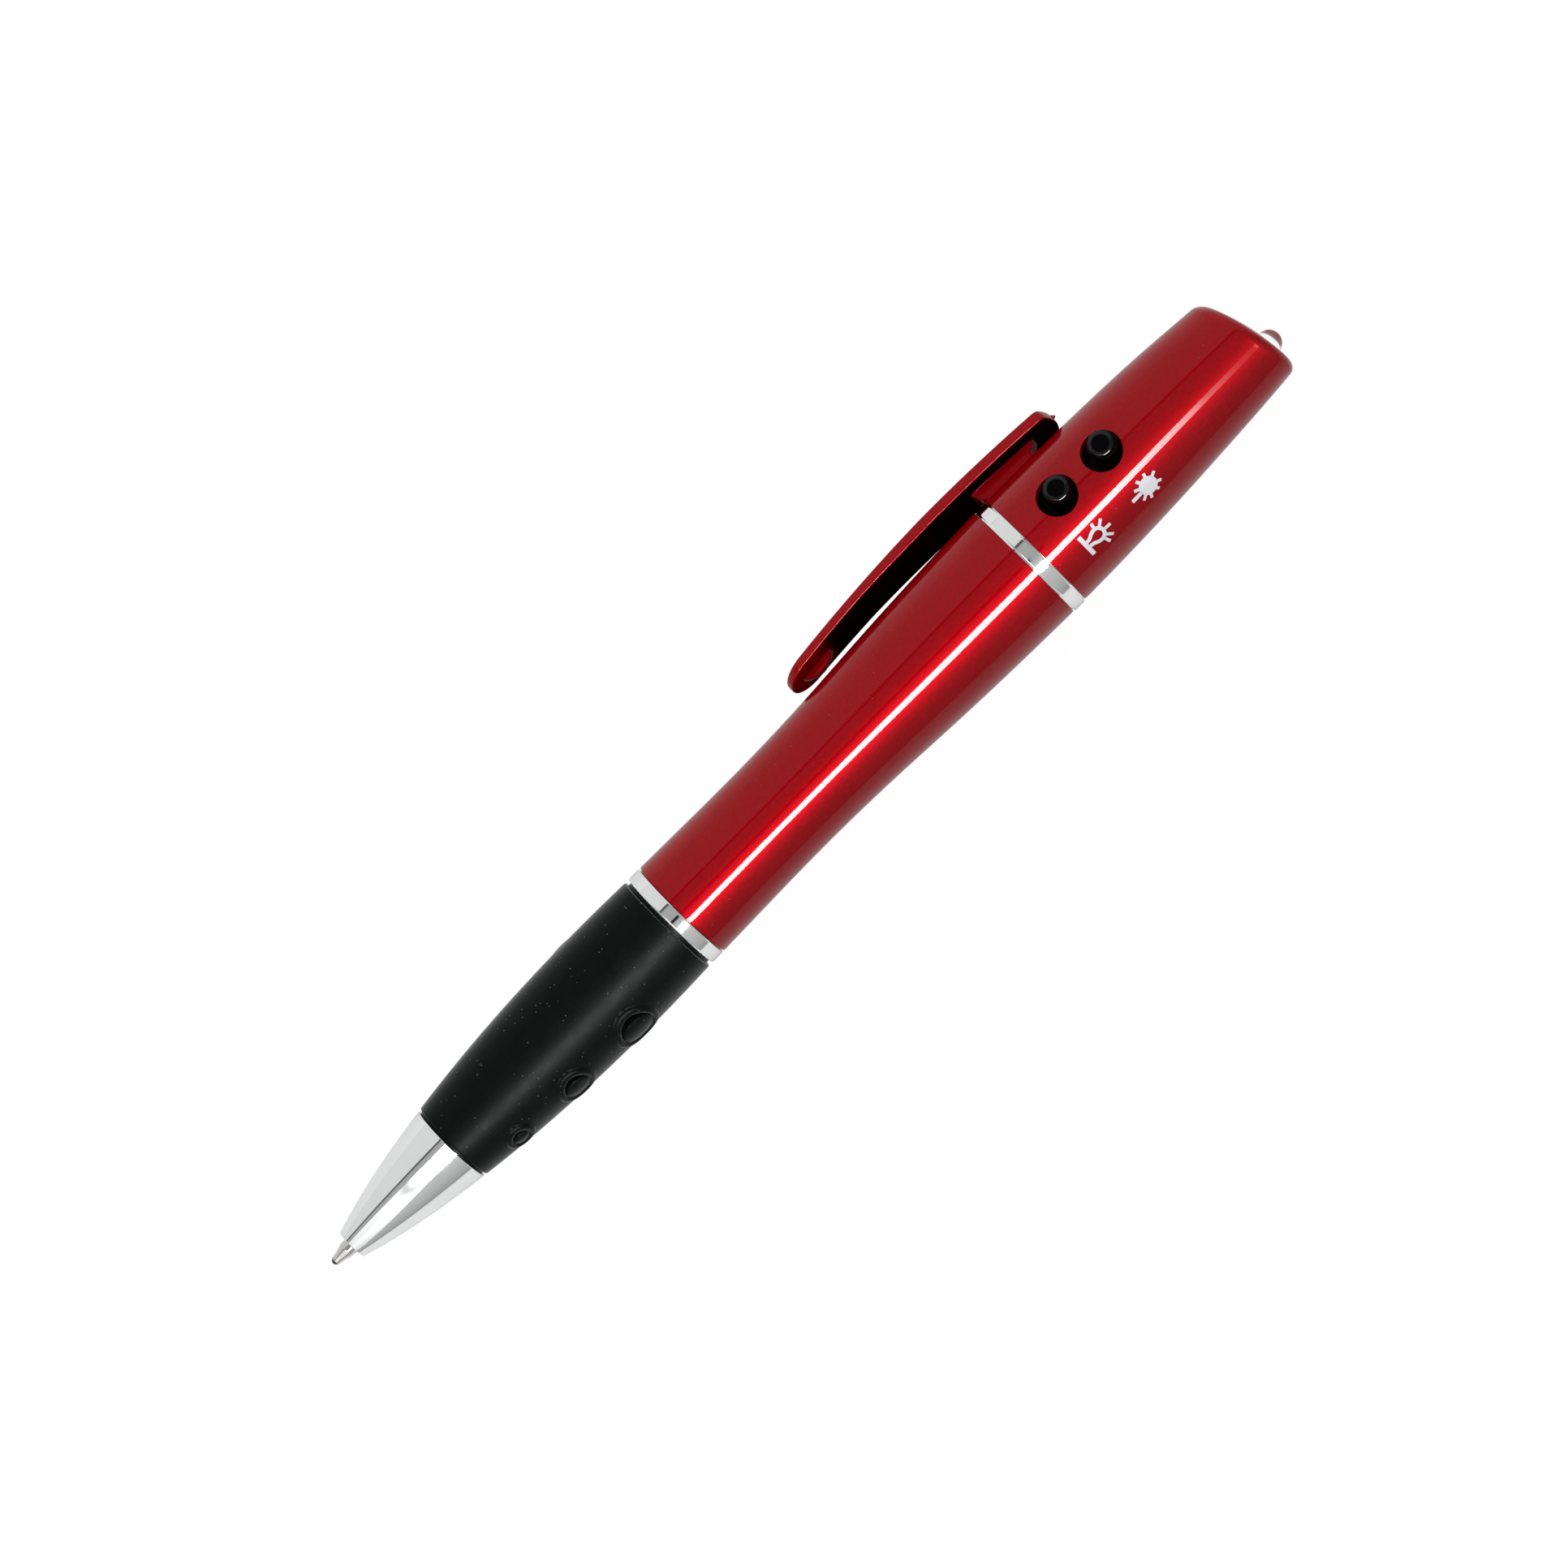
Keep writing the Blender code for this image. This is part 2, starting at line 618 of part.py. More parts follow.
def make_nose():
    outside = nose_profile()
    base = NOSE_START + NOSE_LENGTH
    socket = CORE_NOSE_RADIUS + CLEARANCE
    throat = NOSE_START + NOSE_THROAT_LENGTH
    socket_floor = GRIP_START - CORE_NOSE_LENGTH - SEAT_GAP
    inside = [
        (POINT_RADIUS + CLEARANCE, NOSE_START),
        (POINT_RADIUS + CLEARANCE, throat),
        (CORE_BORE, throat),
        (CORE_BORE, socket_floor),
        (socket, socket_floor),
        (socket, base),
    ]
    turned("nose_cone", outside[::-1] + inside, CHROME, FINE_STEPS)


def make_core():
    """Inner tube of the front half: it carries the nose, the grip and the guide tube."""
    shoulder = GRIP_END - CORE_SHOULDER_WIDTH
    end = BARREL_START + SPIGOT_DEPTH
    guide_seat = LOWER_RING_START
    outline = [
        (SPIGOT_RADIUS, end),
        (SPIGOT_RADIUS, shoulder),
        (CORE_RADIUS, shoulder),
        (CORE_RADIUS, GRIP_START),
        (CORE_NOSE_RADIUS, GRIP_START),
        (CORE_NOSE_RADIUS, GRIP_START - CORE_NOSE_LENGTH),
        (CORE_BORE, GRIP_START - CORE_NOSE_LENGTH),
        (CORE_BORE, guide_seat),
        (GUIDE_RADIUS + CLEARANCE, guide_seat),
        (GUIDE_RADIUS + CLEARANCE, end),
    ]
    turned("grip_core", outline, GREY)


def grip_radius_at(height):
    """The grip's outer radius at a height, straight between the outline's points."""
    points = grip_profile()
    for (r0, z0), (r1, z1) in zip(points, points[1:]):
        if z0 <= height <= z1:
            return r0 + (r1 - r0) * (height - z0) / (z1 - z0)
    return points[-1][0]


def make_grip():
    """Rubber sleeve with two opposite rows of three ringed finger pads that grow towards the barrel."""
    bore = CORE_RADIUS + CLEARANCE
    step = GRIP_END - CORE_SHOULDER_WIDTH - SEAT_GAP
    inside = [
        (bore, GRIP_START),
        (bore, step),
        (SPIGOT_RADIUS + CLEARANCE, step),
        (SPIGOT_RADIUS + CLEARANCE, GRIP_END),
    ]
    grip = turned("grip_sleeve", grip_profile()[::-1] + inside, RUBBER, FINE_STEPS)
    for row in range(2):
        angle = math.radians(PAD_ANGLE + 180 * row)
        for radius, at in zip(PAD_RADII, PAD_PLACES):
            height = GRIP_START + at
            surface = grip_radius_at(height) + PAD_RIM_RISE - PAD_RIM_RADIUS
            spot = (surface * math.cos(angle), surface * math.sin(angle), height)
            facing = (0, math.pi / 2, angle)
            name = f"pad_{row}_{PAD_RADII.index(radius)}"
            bpy.ops.mesh.primitive_torus_add(
                major_radius=radius,
                minor_radius=PAD_RIM_RADIUS,
                major_segments=PAD_STEPS,
                minor_segments=6,
            )
            rim = bpy.context.object
            rim.name = name + "_rim"
            for home in list(rim.users_collection):
                home.objects.unlink(rim)
            cutter(place(rim, CUTTERS, spot, facing))
            combine(grip, rim, "UNION")
            floor = PAD_RIM_RADIUS - PAD_RIM_RISE - PAD_DEPTH
            reach = radius - PAD_FLOOR_INSET
            hollow = rod_cutter(name + "_floor", reach, floor, 2 * OVERCUT, spot, facing, PAD_STEPS)
            combine(grip, hollow)
    return settle(grip, RUBBER)


def make_guide():
    """Tube fixed in the grip core, with two straight slots that keep the follower from turning."""
    guide = turned(
        "guide_tube",
        tube_outline(GUIDE_RADIUS, GUIDE_BORE, LOWER_RING_START + SEAT_GAP, CAM_END),
        BRASS,
        SMALL_STEPS,
    )
    slot_start = LUG_PLACE - LUG_RADIUS - LUG_GAP
    slot_end = LUG_PLACE + TWIST_TRAVEL + LUG_RADIUS + LUG_GAP
    size = (4 * GUIDE_RADIUS, 2 * (LUG_RADIUS + LUG_GAP), slot_end - slot_start)
    slot = cutter(box("guide_slot", size, (0, 0, (slot_start + slot_end) / 2), GREY, collection=CUTTERS))
    combine(guide, slot)
    return settle(guide, BRASS)


def make_cam():
    """Tube fixed in the barrel, with two helical slots: half a turn draws the lugs back by the travel."""
    outer = MECHANISM_BORE - CLEARANCE
    cam = turned("cam_tube", tube_outline(outer, CAM_BORE, CAM_START, CAM_END), WHITE)
    middle = (outer + CAM_BORE) / 2
    reach = (outer - CAM_BORE) / 2
    slot_radius = math.hypot(LUG_RADIUS + LUG_GAP, reach)
    points_per_slot = 13
    for start_angle in (0.0, math.pi):
        points = []
        for i in range(points_per_slot):
            t = i / (points_per_slot - 1)
            angle = start_angle + TWIST_TURN * t
            height = LUG_PLACE + TWIST_TRAVEL * t
            points.append((middle * math.cos(angle), middle * math.sin(angle), height))
        before = Vector(points[0]) - Vector(points[1])
        after = Vector(points[-1]) - Vector(points[-2])
        first = Vector(points[0]) + before.normalized() * (LUG_RADIUS + LUG_GAP)
        last = Vector(points[-1]) + after.normalized() * (LUG_RADIUS + LUG_GAP)
        points = [tuple(first)] + points + [tuple(last)]
        name = f"cam_slot_{round(math.degrees(start_angle))}"
        slot = cutter(wire(name, points, slot_radius, GREY, 2, CUTTERS))
        combine(cam, slot)
    return settle(cam, WHITE)


def ring_outline(start, radius, bore):
    """A trim ring with a slightly crowned face and small edge rounds."""
    end = start + RING_WIDTH
    return [
        (radius - RING_EDGE, end),
        (radius, end - RING_EDGE),
        (radius + RING_CROWN, (start + end) / 2),
        (radius, start + RING_EDGE),
        (radius - RING_EDGE, start),
        (bore, start),
        (bore, end),
    ]


def make_lower_ring():
    """Ring on the barrel's front tenon; its inner lip runs round the grip core's spigot."""
    outline = ring_outline(LOWER_RING_START, LOWER_RING_RADIUS, SPIGOT_RADIUS + CLEARANCE)
    tenon_seat = BARREL_START - TENON_LENGTH - SEAT_GAP
    outline[-1:] = [
        (SPIGOT_RADIUS + CLEARANCE, tenon_seat),
        (TENON_RADIUS + CLEARANCE, tenon_seat),
        (TENON_RADIUS + CLEARANCE, LOWER_RING_START + RING_WIDTH),
    ]
    turned("lower_ring", outline, CHROME, FINE_STEPS)


def make_barrel():
    tenon_start = BARREL_START - TENON_LENGTH
    socket_floor = COUPLING_START - SEAT_GAP
    battery_floor = STOP_START - SEAT_GAP
    outline = barrel_profile()[::-1] + [
        (TENON_RADIUS, BARREL_START),
        (TENON_RADIUS, tenon_start),
        (MECHANISM_BORE, tenon_start),
        (MECHANISM_BORE, battery_floor),
        (BATTERY_BORE, battery_floor),
        (BATTERY_BORE, socket_floor),
        (COUPLING_SOCKET, socket_floor),
        (COUPLING_SOCKET, BARREL_END),
    ]
    barrel = turned("barrel_shell", outline, RED, FINE_STEPS)
    groove_length = socket_floor - battery_floor
    depth = STRIP_THICKNESS + 2 * CLEARANCE
    size = (2 * depth, STRIP_WIDTH + 2 * CLEARANCE, groove_length)
    centre = (-BATTERY_BORE, 0, battery_floor + groove_length / 2)
    combine(barrel, cutter(box("strip_groove", size, centre, GREY, collection=CUTTERS)))
    return settle(barrel, RED)


def make_cells():
    """Floor disc, spring contact and a stack of button cells, with the strip that leads the current back."""
    radius = BATTERY_BORE - CLEARANCE
    turned("battery_stop", rod_outline(radius, STOP_START, STOP_START + STOP_THICKNESS), GREY)
    spring_start = STOP_START + STOP_THICKNESS + SEAT_GAP
    make_spring(
        "lower_contact",
        spring_start,
        CELLS_START - SEAT_GAP,
        CONTACT_WIDE_RADIUS,
        CONTACT_NARROW_RADIUS,
        CONTACT_TURNS,
        CONTACT_WIRE_RADIUS,
        STEEL,
    )
    for i in range(CELL_COUNT):
        start = CELLS_START + i * (CELL_HEIGHT + SEAT_GAP)
        can = start + CELL_HEIGHT - CELL_CAP_HEIGHT
        outline = [
            (0.0, start + CELL_HEIGHT),
            (CELL_CAP_RADIUS, start + CELL_HEIGHT),
            (CELL_CAP_RADIUS, can),
            (CELL_RADIUS - CELL_EDGE, can),
            (CELL_RADIUS, can - CELL_EDGE),
            (CELL_RADIUS, start + CELL_EDGE),
            (CELL_RADIUS - CELL_EDGE, start),
            (0.0, start),
        ]
        turned(f"button_cell_{i + 1}", outline, STEEL)
    length = COUPLING_START - SEAT_GAP - STOP_START
    size = (STRIP_THICKNESS, STRIP_WIDTH, length - 4 * SEAT_GAP)
    across = BATTERY_BORE + CLEARANCE / 2 + STRIP_THICKNESS / 2
    box("return_strip", size, (-across, 0, STOP_START + length / 2), BRASS)


def make_coupling():
    """Threaded sleeve fixed in the head, which screws into the barrel over the top cell."""
    sleeve = tube_outline(COUPLING_RADIUS, BATTERY_BORE, COUPLING_START, COUPLING_END)
    turned("coupling_sleeve", sleeve, BRASS)
    ring = ring_outline(UPPER_RING_START, UPPER_RING_RADIUS, COUPLING_SOCKET)
    turned("upper_ring", ring, CHROME, FINE_STEPS)


def make_head():
    """Slanted head shell with the clip's notch, two button holes and openings for the two lamps."""
    outside = head_profile()
    inside = head_profile(HEAD_WALL, 5, 2)
    socket_end = COUPLING_END + SEAT_GAP
    inner = [point for point in inside if point[1] > socket_end]
    mouth = [(COUPLING_SOCKET, HEAD_START), (COUPLING_SOCKET, socket_end), (inner[0][0], socket_end)]
    head = turned("head_shell", outside[::-1] + mouth + inner, RED, FINE_STEPS)
    slant(head.data)
    for name, at in zip(("light_button_hole", "laser_button_hole"), BUTTON_PLACES):
        spot = (0, 0, HEAD_START + at)
        inner = HEAD_FRONT_RADIUS - 2 * HEAD_WALL
        outer = HEAD_FRONT_RADIUS + OVERCUT
        hole = rod_cutter(name, BUTTON_HOLE_RADIUS, inner, outer, spot, (-math.pi / 2, 0, 0), PLAIN_STEPS)
        combine(head, hole)
    depth = 2 * HEAD_WALL
    led_hole = rod_cutter("led_hole", LED_RADIUS + CLEARANCE, -depth, OVERCUT, (-LED_OFFSET, 0, LED_FACE))
    combine(head, led_hole)
    aperture = LASER_APERTURE + CLEARANCE
    laser_hole = rod_cutter("laser_hole", aperture, -depth, OVERCUT, (LASER_OFFSET, 0, LASER_FACE))
    combine(head, laser_hole)
    notch_end = FOOT_END + SLOT_GAP
    notch_start = HEAD_START - OVERCUT
    size = (3 * HEAD_WALL, FOOT_WIDTH + 2 * SLOT_GAP, notch_end - notch_start)
    centre = (HEAD_FRONT_RADIUS, 0, (notch_start + notch_end) / 2)
    combine(head, cutter(box("clip_notch", size, centre, GREY, collection=CUTTERS)))
    return settle(head, RED)


def clip_line(height):
    """Distance of the clip's outer face from the pen's axis."""
    return CLIP_TOP - (height - CLIP_CROWN) ** 2 / (2 * CLIP_BOW_RADIUS)


def arc_points(centre, radius, first, last, count):
    points = []
    for i in range(count):
        angle = math.radians(first + (last - first) * i / (count - 1))
        points.append((centre[0] + radius * math.cos(angle), centre[1] + radius * math.sin(angle)))
    return points


def clip_side_outline():
    """Side view of the bowed plate as (distance from axis, height)."""
    spans = 9
    top = []
    for i in range(spans + 1):
        height = CLIP_TIP + (CLIP_END - CLIP_TIP) * i / spans
        top.append((clip_line(height), height))
    under = [(distance - CLIP_THICKNESS, height) for distance, height in top[::-1]]
    return top + under


def clip_plan_outline():
    """View from outside as (across, height): round tip, sides that widen, bowed end with rounded corners."""
    half_tip = CLIP_TIP_WIDTH / 2
    half = CLIP_WIDTH / 2
    shoulder = CLIP_END - CLIP_END_BOW - CLIP_CORNER
    tip = arc_points((0.0, CLIP_TIP + half_tip), half_tip, 180, 360, 13)
    right = arc_points((half - CLIP_CORNER, shoulder), CLIP_CORNER, 0, 75, 4)
    left = [(-across, height) for across, height in right[::-1]]
    end = [(half / 3, CLIP_END), (-half / 3, CLIP_END)]
    return tip + [(half, CLIP_CROWN)] + right + end + left + [(-half, CLIP_CROWN)]


def slab(name, corners, thickness, collection):
    """A flat outline given thickness to both sides."""
    mesh = bpy.data.meshes.new(name)
    mesh.from_pydata(corners, [], [tuple(range(len(corners)))])
    thing = place(bpy.data.objects.new(name, mesh), collection)
    solid = thing.modifiers.new("thickness", "SOLIDIFY")
    solid.thickness = thickness
    solid.offset = 0.0
    return make_real(thing)


def make_clip():
    """Moulded clip: bowed plate, tapered foot with a barb that hooks under the head's wall, and a rib at the tip."""
    hinge = Vector((HEAD_FRONT_RADIUS, 0.0, FOOT_START))
    side = [(x, 0.0, z) for x, z in clip_side_outline()]
    plan = [(CLIP_TOP, y, z) for y, z in clip_plan_outline()]
    clip = slab("clip", side, 2 * CLIP_WIDTH, PEN)
    combine(clip, cutter(slab("clip_plan", plan, 8 * CLIP_RISE, CUTTERS)), "INTERSECT")
    clip = make_real(clip)
    edges = clip.modifiers.new("edges", "BEVEL")
    edges.width = CLIP_EDGE
    edges.segments = 1
    edges.limit_method = "ANGLE"
    edges.angle_limit = math.radians(50)
    plate_under = clip_line(FOOT_END) - CLIP_THICKNESS / 2
    block_bottom = UPPER_RING_RADIUS + RING_CROWN + SLOT_GAP
    block = [
        (block_bottom, 0.0, FOOT_START + FOOT_BASE_STEP),
        (plate_under, 0.0, FOOT_START + FOOT_BASE_STEP - FOOT_FRONT_SPREAD),
        (plate_under, 0.0, FOOT_END + FOOT_REAR_SPREAD),
        (block_bottom, 0.0, FOOT_END),
    ]
    combine(clip, cutter(slab("clip_block", block, FOOT_WIDTH, CUTTERS)), "UNION")
    neck_bottom = COUPLING_SOCKET + SLOT_GAP
    neck_top = (plate_under + block_bottom) / 2
    neck_start = HEAD_START + SLOT_GAP
    neck_size = (neck_top - neck_bottom, FOOT_WIDTH, FOOT_END - neck_start)
    neck_centre = ((neck_top + neck_bottom) / 2, 0, (neck_start + FOOT_END) / 2)
    combine(clip, cutter(box("clip_neck", neck_size, neck_centre, GREY, collection=CUTTERS)), "UNION")
    barb_end = FOOT_END - SLOT_GAP
    barb_start = barb_end - FOOT_BARB_LENGTH
    wall_inside = HEAD_FRONT_RADIUS - HEAD_WALL
    barb_top = math.sqrt(wall_inside**2 - (FOOT_BARB_WIDTH / 2) ** 2) - FOOT_BARB_GAP
    barb_size = (FOOT_BARB_HEIGHT, FOOT_BARB_WIDTH, FOOT_BARB_LENGTH)
    barb_centre = (barb_top - FOOT_BARB_HEIGHT / 2, 0, (barb_start + barb_end) / 2)
    barb = cutter(box("clip_barb", barb_size, barb_centre, GREY, FOOT_BARB_EDGE, CUTTERS))
    combine(clip, barb, "UNION")
    stem_size = (neck_bottom - barb_top + 2 * FOOT_OVERLAP, FOOT_WIDTH, FOOT_BARB_LENGTH)
    stem_centre = ((neck_bottom + barb_top) / 2, 0, (barb_start + barb_end) / 2)
    combine(clip, cutter(box("clip_stem", stem_size, stem_centre, GREY, collection=CUTTERS)), "UNION")
    middle = CLIP_TIP + RIB_FROM_TIP
    rib_top = clip_line(middle) - CLIP_THICKNESS
    rib_radius = RIB_LENGTH**2 / (8 * RIB_DEPTH) + RIB_DEPTH / 2
    reach = math.degrees(math.asin(RIB_LENGTH / 2 / rib_radius))
    arc = arc_points((rib_top - RIB_DEPTH + rib_radius, middle), rib_radius, 180 - reach, 180 + reach, 9)
    root = rib_top + CLIP_THICKNESS / 2
    rib = [(root, 0.0, arc[0][1])] + [(x, 0.0, z) for x, z in arc] + [(root, 0.0, arc[-1][1])]
    combine(clip, cutter(slab("clip_rib", rib, RIB_WIDTH, CUTTERS)), "UNION")
    clip = settle(clip, RED)
    clip.data.transform(Matrix.Translation(-hinge))
    clip.location = hinge


def make_board():
    """Contact disc with its spring, circuit board on its carrier, and two chip resistors."""
    disc_radius = BATTERY_BORE - CLEARANCE
    turned("contact_disc", rod_outline(disc_radius, DISC_START, DISC_START + DISC_THICKNESS), GREY)
    make_spring(
        "upper_contact",
        CELLS_END + SEAT_GAP,
        DISC_START - SEAT_GAP,
        CONTACT_NARROW_RADIUS,
        CONTACT_WIDE_RADIUS,
        CONTACT_TURNS,
        CONTACT_WIRE_RADIUS,
        STEEL,
    )
    size = (BOARD_WIDTH, BOARD_THICKNESS, BOARD_LENGTH)
    centre = (0, BOARD_TOP - BOARD_THICKNESS / 2, BOARD_START + BOARD_LENGTH / 2)
    box("circuit_board", size, centre, GREEN)
    for name, side in (("led_resistor", -1), ("laser_resistor", 1)):
        spot = (side * BOARD_WIDTH / 4, BOARD_TOP + SEAT_GAP / 2 + CHIP_HEIGHT / 2, BOARD_END - CHIP_WIDTH)
        box(name, (CHIP_LENGTH, CHIP_HEIGHT, CHIP_WIDTH), spot, BLACK)

    carrier_start = FOOT_END + 2 * SLOT_GAP
    carrier = turned("board_carrier", rod_outline(CARRIER_RADIUS, carrier_start, BOARD_END - SEAT_GAP), WHITE)
    shelf = BOARD_TOP - BOARD_THICKNESS - SEAT_GAP
    above = (4 * CARRIER_RADIUS, 2 * CARRIER_RADIUS, 2 * BOARD_LENGTH)
    cut = box("carrier_shelf", above, (0, shelf + CARRIER_RADIUS, carrier_start), GREY, collection=CUTTERS)
    combine(carrier, cutter(cut))
    trough = box(
        "carrier_trough",
        (BOARD_WIDTH - 2 * HEAD_WALL, 2 * CARRIER_RADIUS - 4 * HEAD_WALL, 4 * BOARD_LENGTH),
        (0, shelf - HEAD_WALL / 2, carrier_start),
        GREY,
        collection=CUTTERS,
    )
    combine(carrier, cutter(trough))
    settle(carrier, WHITE)


def make_switch(name, at):
    """Tactile switch: housing with a well, snap dome, plunger that is the pen's button, and cover plate."""
    base = BOARD_TOP + SEAT_GAP / 2
    rim = base + SWITCH_HEIGHT
    height = HEAD_START + at + BUTTON_OFFSET
    facing = (-math.pi / 2, 0, 0)
    housing = box(
        name + "_switch_housing",
        (SWITCH_SIDE, SWITCH_HEIGHT, SWITCH_SIDE),
        (0, base + SWITCH_HEIGHT / 2, height),
        BLACK,
        SWITCH_EDGE,
    )
    well_floor = rim - SWITCH_WELL_DEPTH
    well = rod_cutter(name + "_well", SWITCH_WELL_RADIUS, well_floor, rim + OVERCUT, (0, 0, height), facing)
    combine(housing, well)
    settle(housing, BLACK)

    dome_foot = well_floor + SEAT_GAP / 2
    dome = []
    for i in range(3):
        part = i / 2
        dome.append((DOME_RADIUS * part, dome_foot + DOME_HEIGHT * (1 - part * part) + DOME_THICKNESS))
    under = [(radius, level - DOME_THICKNESS) for radius, level in dome]
    sheet = dome + under[::-1]
    turned(name + "_snap_dome", sheet, STEEL, SMALL_STEPS, location=(0, 0, height), rotation=facing)

    plate_start = rim + SEAT_GAP / 2
    side = SWITCH_SIDE - 2 * SWITCH_PLATE_INSET
    plate = box(
        name + "_switch_plate",
        (side, SWITCH_PLATE, side),
        (0, plate_start + SWITCH_PLATE / 2, height),
        STEEL,
    )
    eye = rod_cutter(name + "_eye", BUTTON_RADIUS + CLEARANCE, rim, rim + OVERCUT, (0, 0, height), facing)
    combine(plate, eye)
    settle(plate, STEEL)

    flange_top = plate_start - SEAT_GAP / 2
    flange_bottom = dome[0][1] + BUTTON_TRAVEL + SEAT_GAP
    button_top = HEAD_FRONT_RADIUS + BUTTON_RISE
    button = [
        (0.0, button_top),
        (BUTTON_RADIUS - BUTTON_EDGE, button_top),
        (BUTTON_RADIUS - BUTTON_EDGE * 0.3, button_top - BUTTON_EDGE * 0.3),
        (BUTTON_RADIUS, button_top - BUTTON_EDGE),
        (BUTTON_RADIUS, flange_top),
        (BUTTON_FLANGE_RADIUS, flange_top),
        (BUTTON_FLANGE_RADIUS, flange_bottom),
        (0.0, flange_bottom),
    ]
    turned(name + "_button", button, BLACK, location=(0, 0, height), rotation=facing)


def make_lamps():
    """Laser module and LED in one holder behind the slanted end."""
    end = LASER_END
    tube = [
        (LASER_RADIUS, end),
        (LASER_RADIUS, LASER_START),
        (LASER_BORE, LASER_START),
        (LASER_BORE, end - LASER_LIP),
        (LASER_APERTURE, end - LASER_LIP),
        (LASER_APERTURE, end),
    ]
    spot = (LASER_OFFSET, 0, 0)
    turned("laser_housing", tube, BRASS, location=spot)
    lens_end = end - LASER_LIP - SEAT_GAP
    lens = [(0.0, lens_end)]
    for i in range(1, 4):
        share = i / 3
        lens.append((LENS_RADIUS * share, lens_end - LENS_SAG * share * share))
    lens += [(LENS_RADIUS, lens_end - LENS_THICKNESS), (0.0, lens_end - LENS_THICKNESS)]
    turned("laser_lens", lens, CLEAR, SMALL_STEPS, location=spot)
    can = LASER_START + DIODE_LENGTH
    flange = LASER_START + DIODE_FLANGE
    diode = [
        (0.0, can),
        (DIODE_CAN_RADIUS, can),
        (DIODE_CAN_RADIUS, flange),
        (LASER_BORE - CLEARANCE, flange),
        (LASER_BORE - CLEARANCE, LASER_START + SEAT_GAP),
        (0.0, LASER_START + SEAT_GAP),
    ]
    turned("laser_diode", diode, STEEL, SMALL_STEPS, location=spot)

    led = []
    for i in range(7):
        angle = math.pi / 2 * (1 - i / 6)
        led.append((LED_RADIUS * math.cos(angle), LED_DOME_CENTRE + LED_RADIUS * math.sin(angle)))
    led[0] = (0.0, LED_DOME_CENTRE + LED_RADIUS)
    led += [
        (LED_RADIUS, LED_FLANGE_END),
        (LED_FLANGE_RADIUS, LED_FLANGE_END),
        (LED_FLANGE_RADIUS, LED_START),
        (0.0, LED_START),
    ]
    turned("led_lamp", led, CLEAR, PLAIN_STEPS, location=(-LED_OFFSET, 0, 0))
    lead_end = LED_START - SEAT_GAP / 2
    lead_start = BOARD_END + SEAT_GAP
    holder = turned("lamp_holder", rod_outline(HOLDER_RADIUS, HOLDER_START, HOLDER_END), GREY)
    boss_end = LED_START - SEAT_GAP
    boss = rod_cutter("led_boss", LED_FLANGE_RADIUS, HOLDER_START + OVERCUT, boss_end, (-LED_OFFSET, 0, 0))
    combine(holder, boss, "UNION")
    bore = rod_cutter("laser_seat", LASER_RADIUS + CLEARANCE, HOLDER_START - OVERCUT, LASER_END, spot)
    combine(holder, bore)
    for name, side in (("led_anode_lead", -1), ("led_cathode_lead", 1)):
        across = -LED_OFFSET + side * LED_LEAD_SPACING / 2
        lead = rod_outline(LED_LEAD_RADIUS, lead_start, lead_end)
        turned(name, lead, STEEL, WIRE_STEPS, location=(across, 0, 0))
        passage = LED_LEAD_RADIUS + CLEARANCE
        bottom = HOLDER_START - OVERCUT
        top = LED_START + OVERCUT
        hole = rod_cutter(name + "_hole", passage, bottom, top, (across, 0, 0), steps=WIRE_STEPS)
        combine(holder, hole)
    settle(holder, GREY)


def rest_on_table():
    """Turns the whole pen to its resting attitude and puts the middle of its base at the origin."""
    FRAME.matrix_world = rest_matrix()
    bpy.context.view_layer.update()
    low = Vector((math.inf, math.inf, math.inf))
    high = -low
    for thing in PEN.objects:
        if thing.type != "MESH":
            continue
        for vertex in thing.data.vertices:
            spot = thing.matrix_world @ vertex.co
            low = Vector(map(min, low, spot))
            high = Vector(map(max, high, spot))
    middle = (low + high) / 2
    FRAME.matrix_world = Matrix.Translation((-middle.x, -middle.y, -low.z)) @ FRAME.matrix_world
    bpy.context.view_layer.update()


make_refill()
make_follower()
make_nose()
make_spring(
    "return_spring",
    NOSE_START + NOSE_THROAT_LENGTH + SEAT_GAP,
    POINT_LENGTH - SEAT_GAP,
    SPRING_RADIUS,
    SPRING_RADIUS,
    SPRING_TURNS,
    SPRING_WIRE_RADIUS,
    STEEL,
)
make_core()
make_grip()
make_guide()
make_cam()
make_lower_ring()
make_barrel()
make_cells()
make_coupling()
make_head()
make_clip()
make_board()
make_switch("light", BUTTON_PLACES[0])
make_switch("laser", BUTTON_PLACES[1])
make_lamps()
rest_on_table()
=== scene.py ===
"""Picture scene of a twist ballpoint pen with a laser pointer and a lamp in its head.

Sizes are in millimetres on the pen's own axes: x to the clip, y to the buttons, z from the writing ball to the lamp.
"""
import json
import math

import bmesh
import bpy
import numpy as np
from mathutils import Matrix, Vector


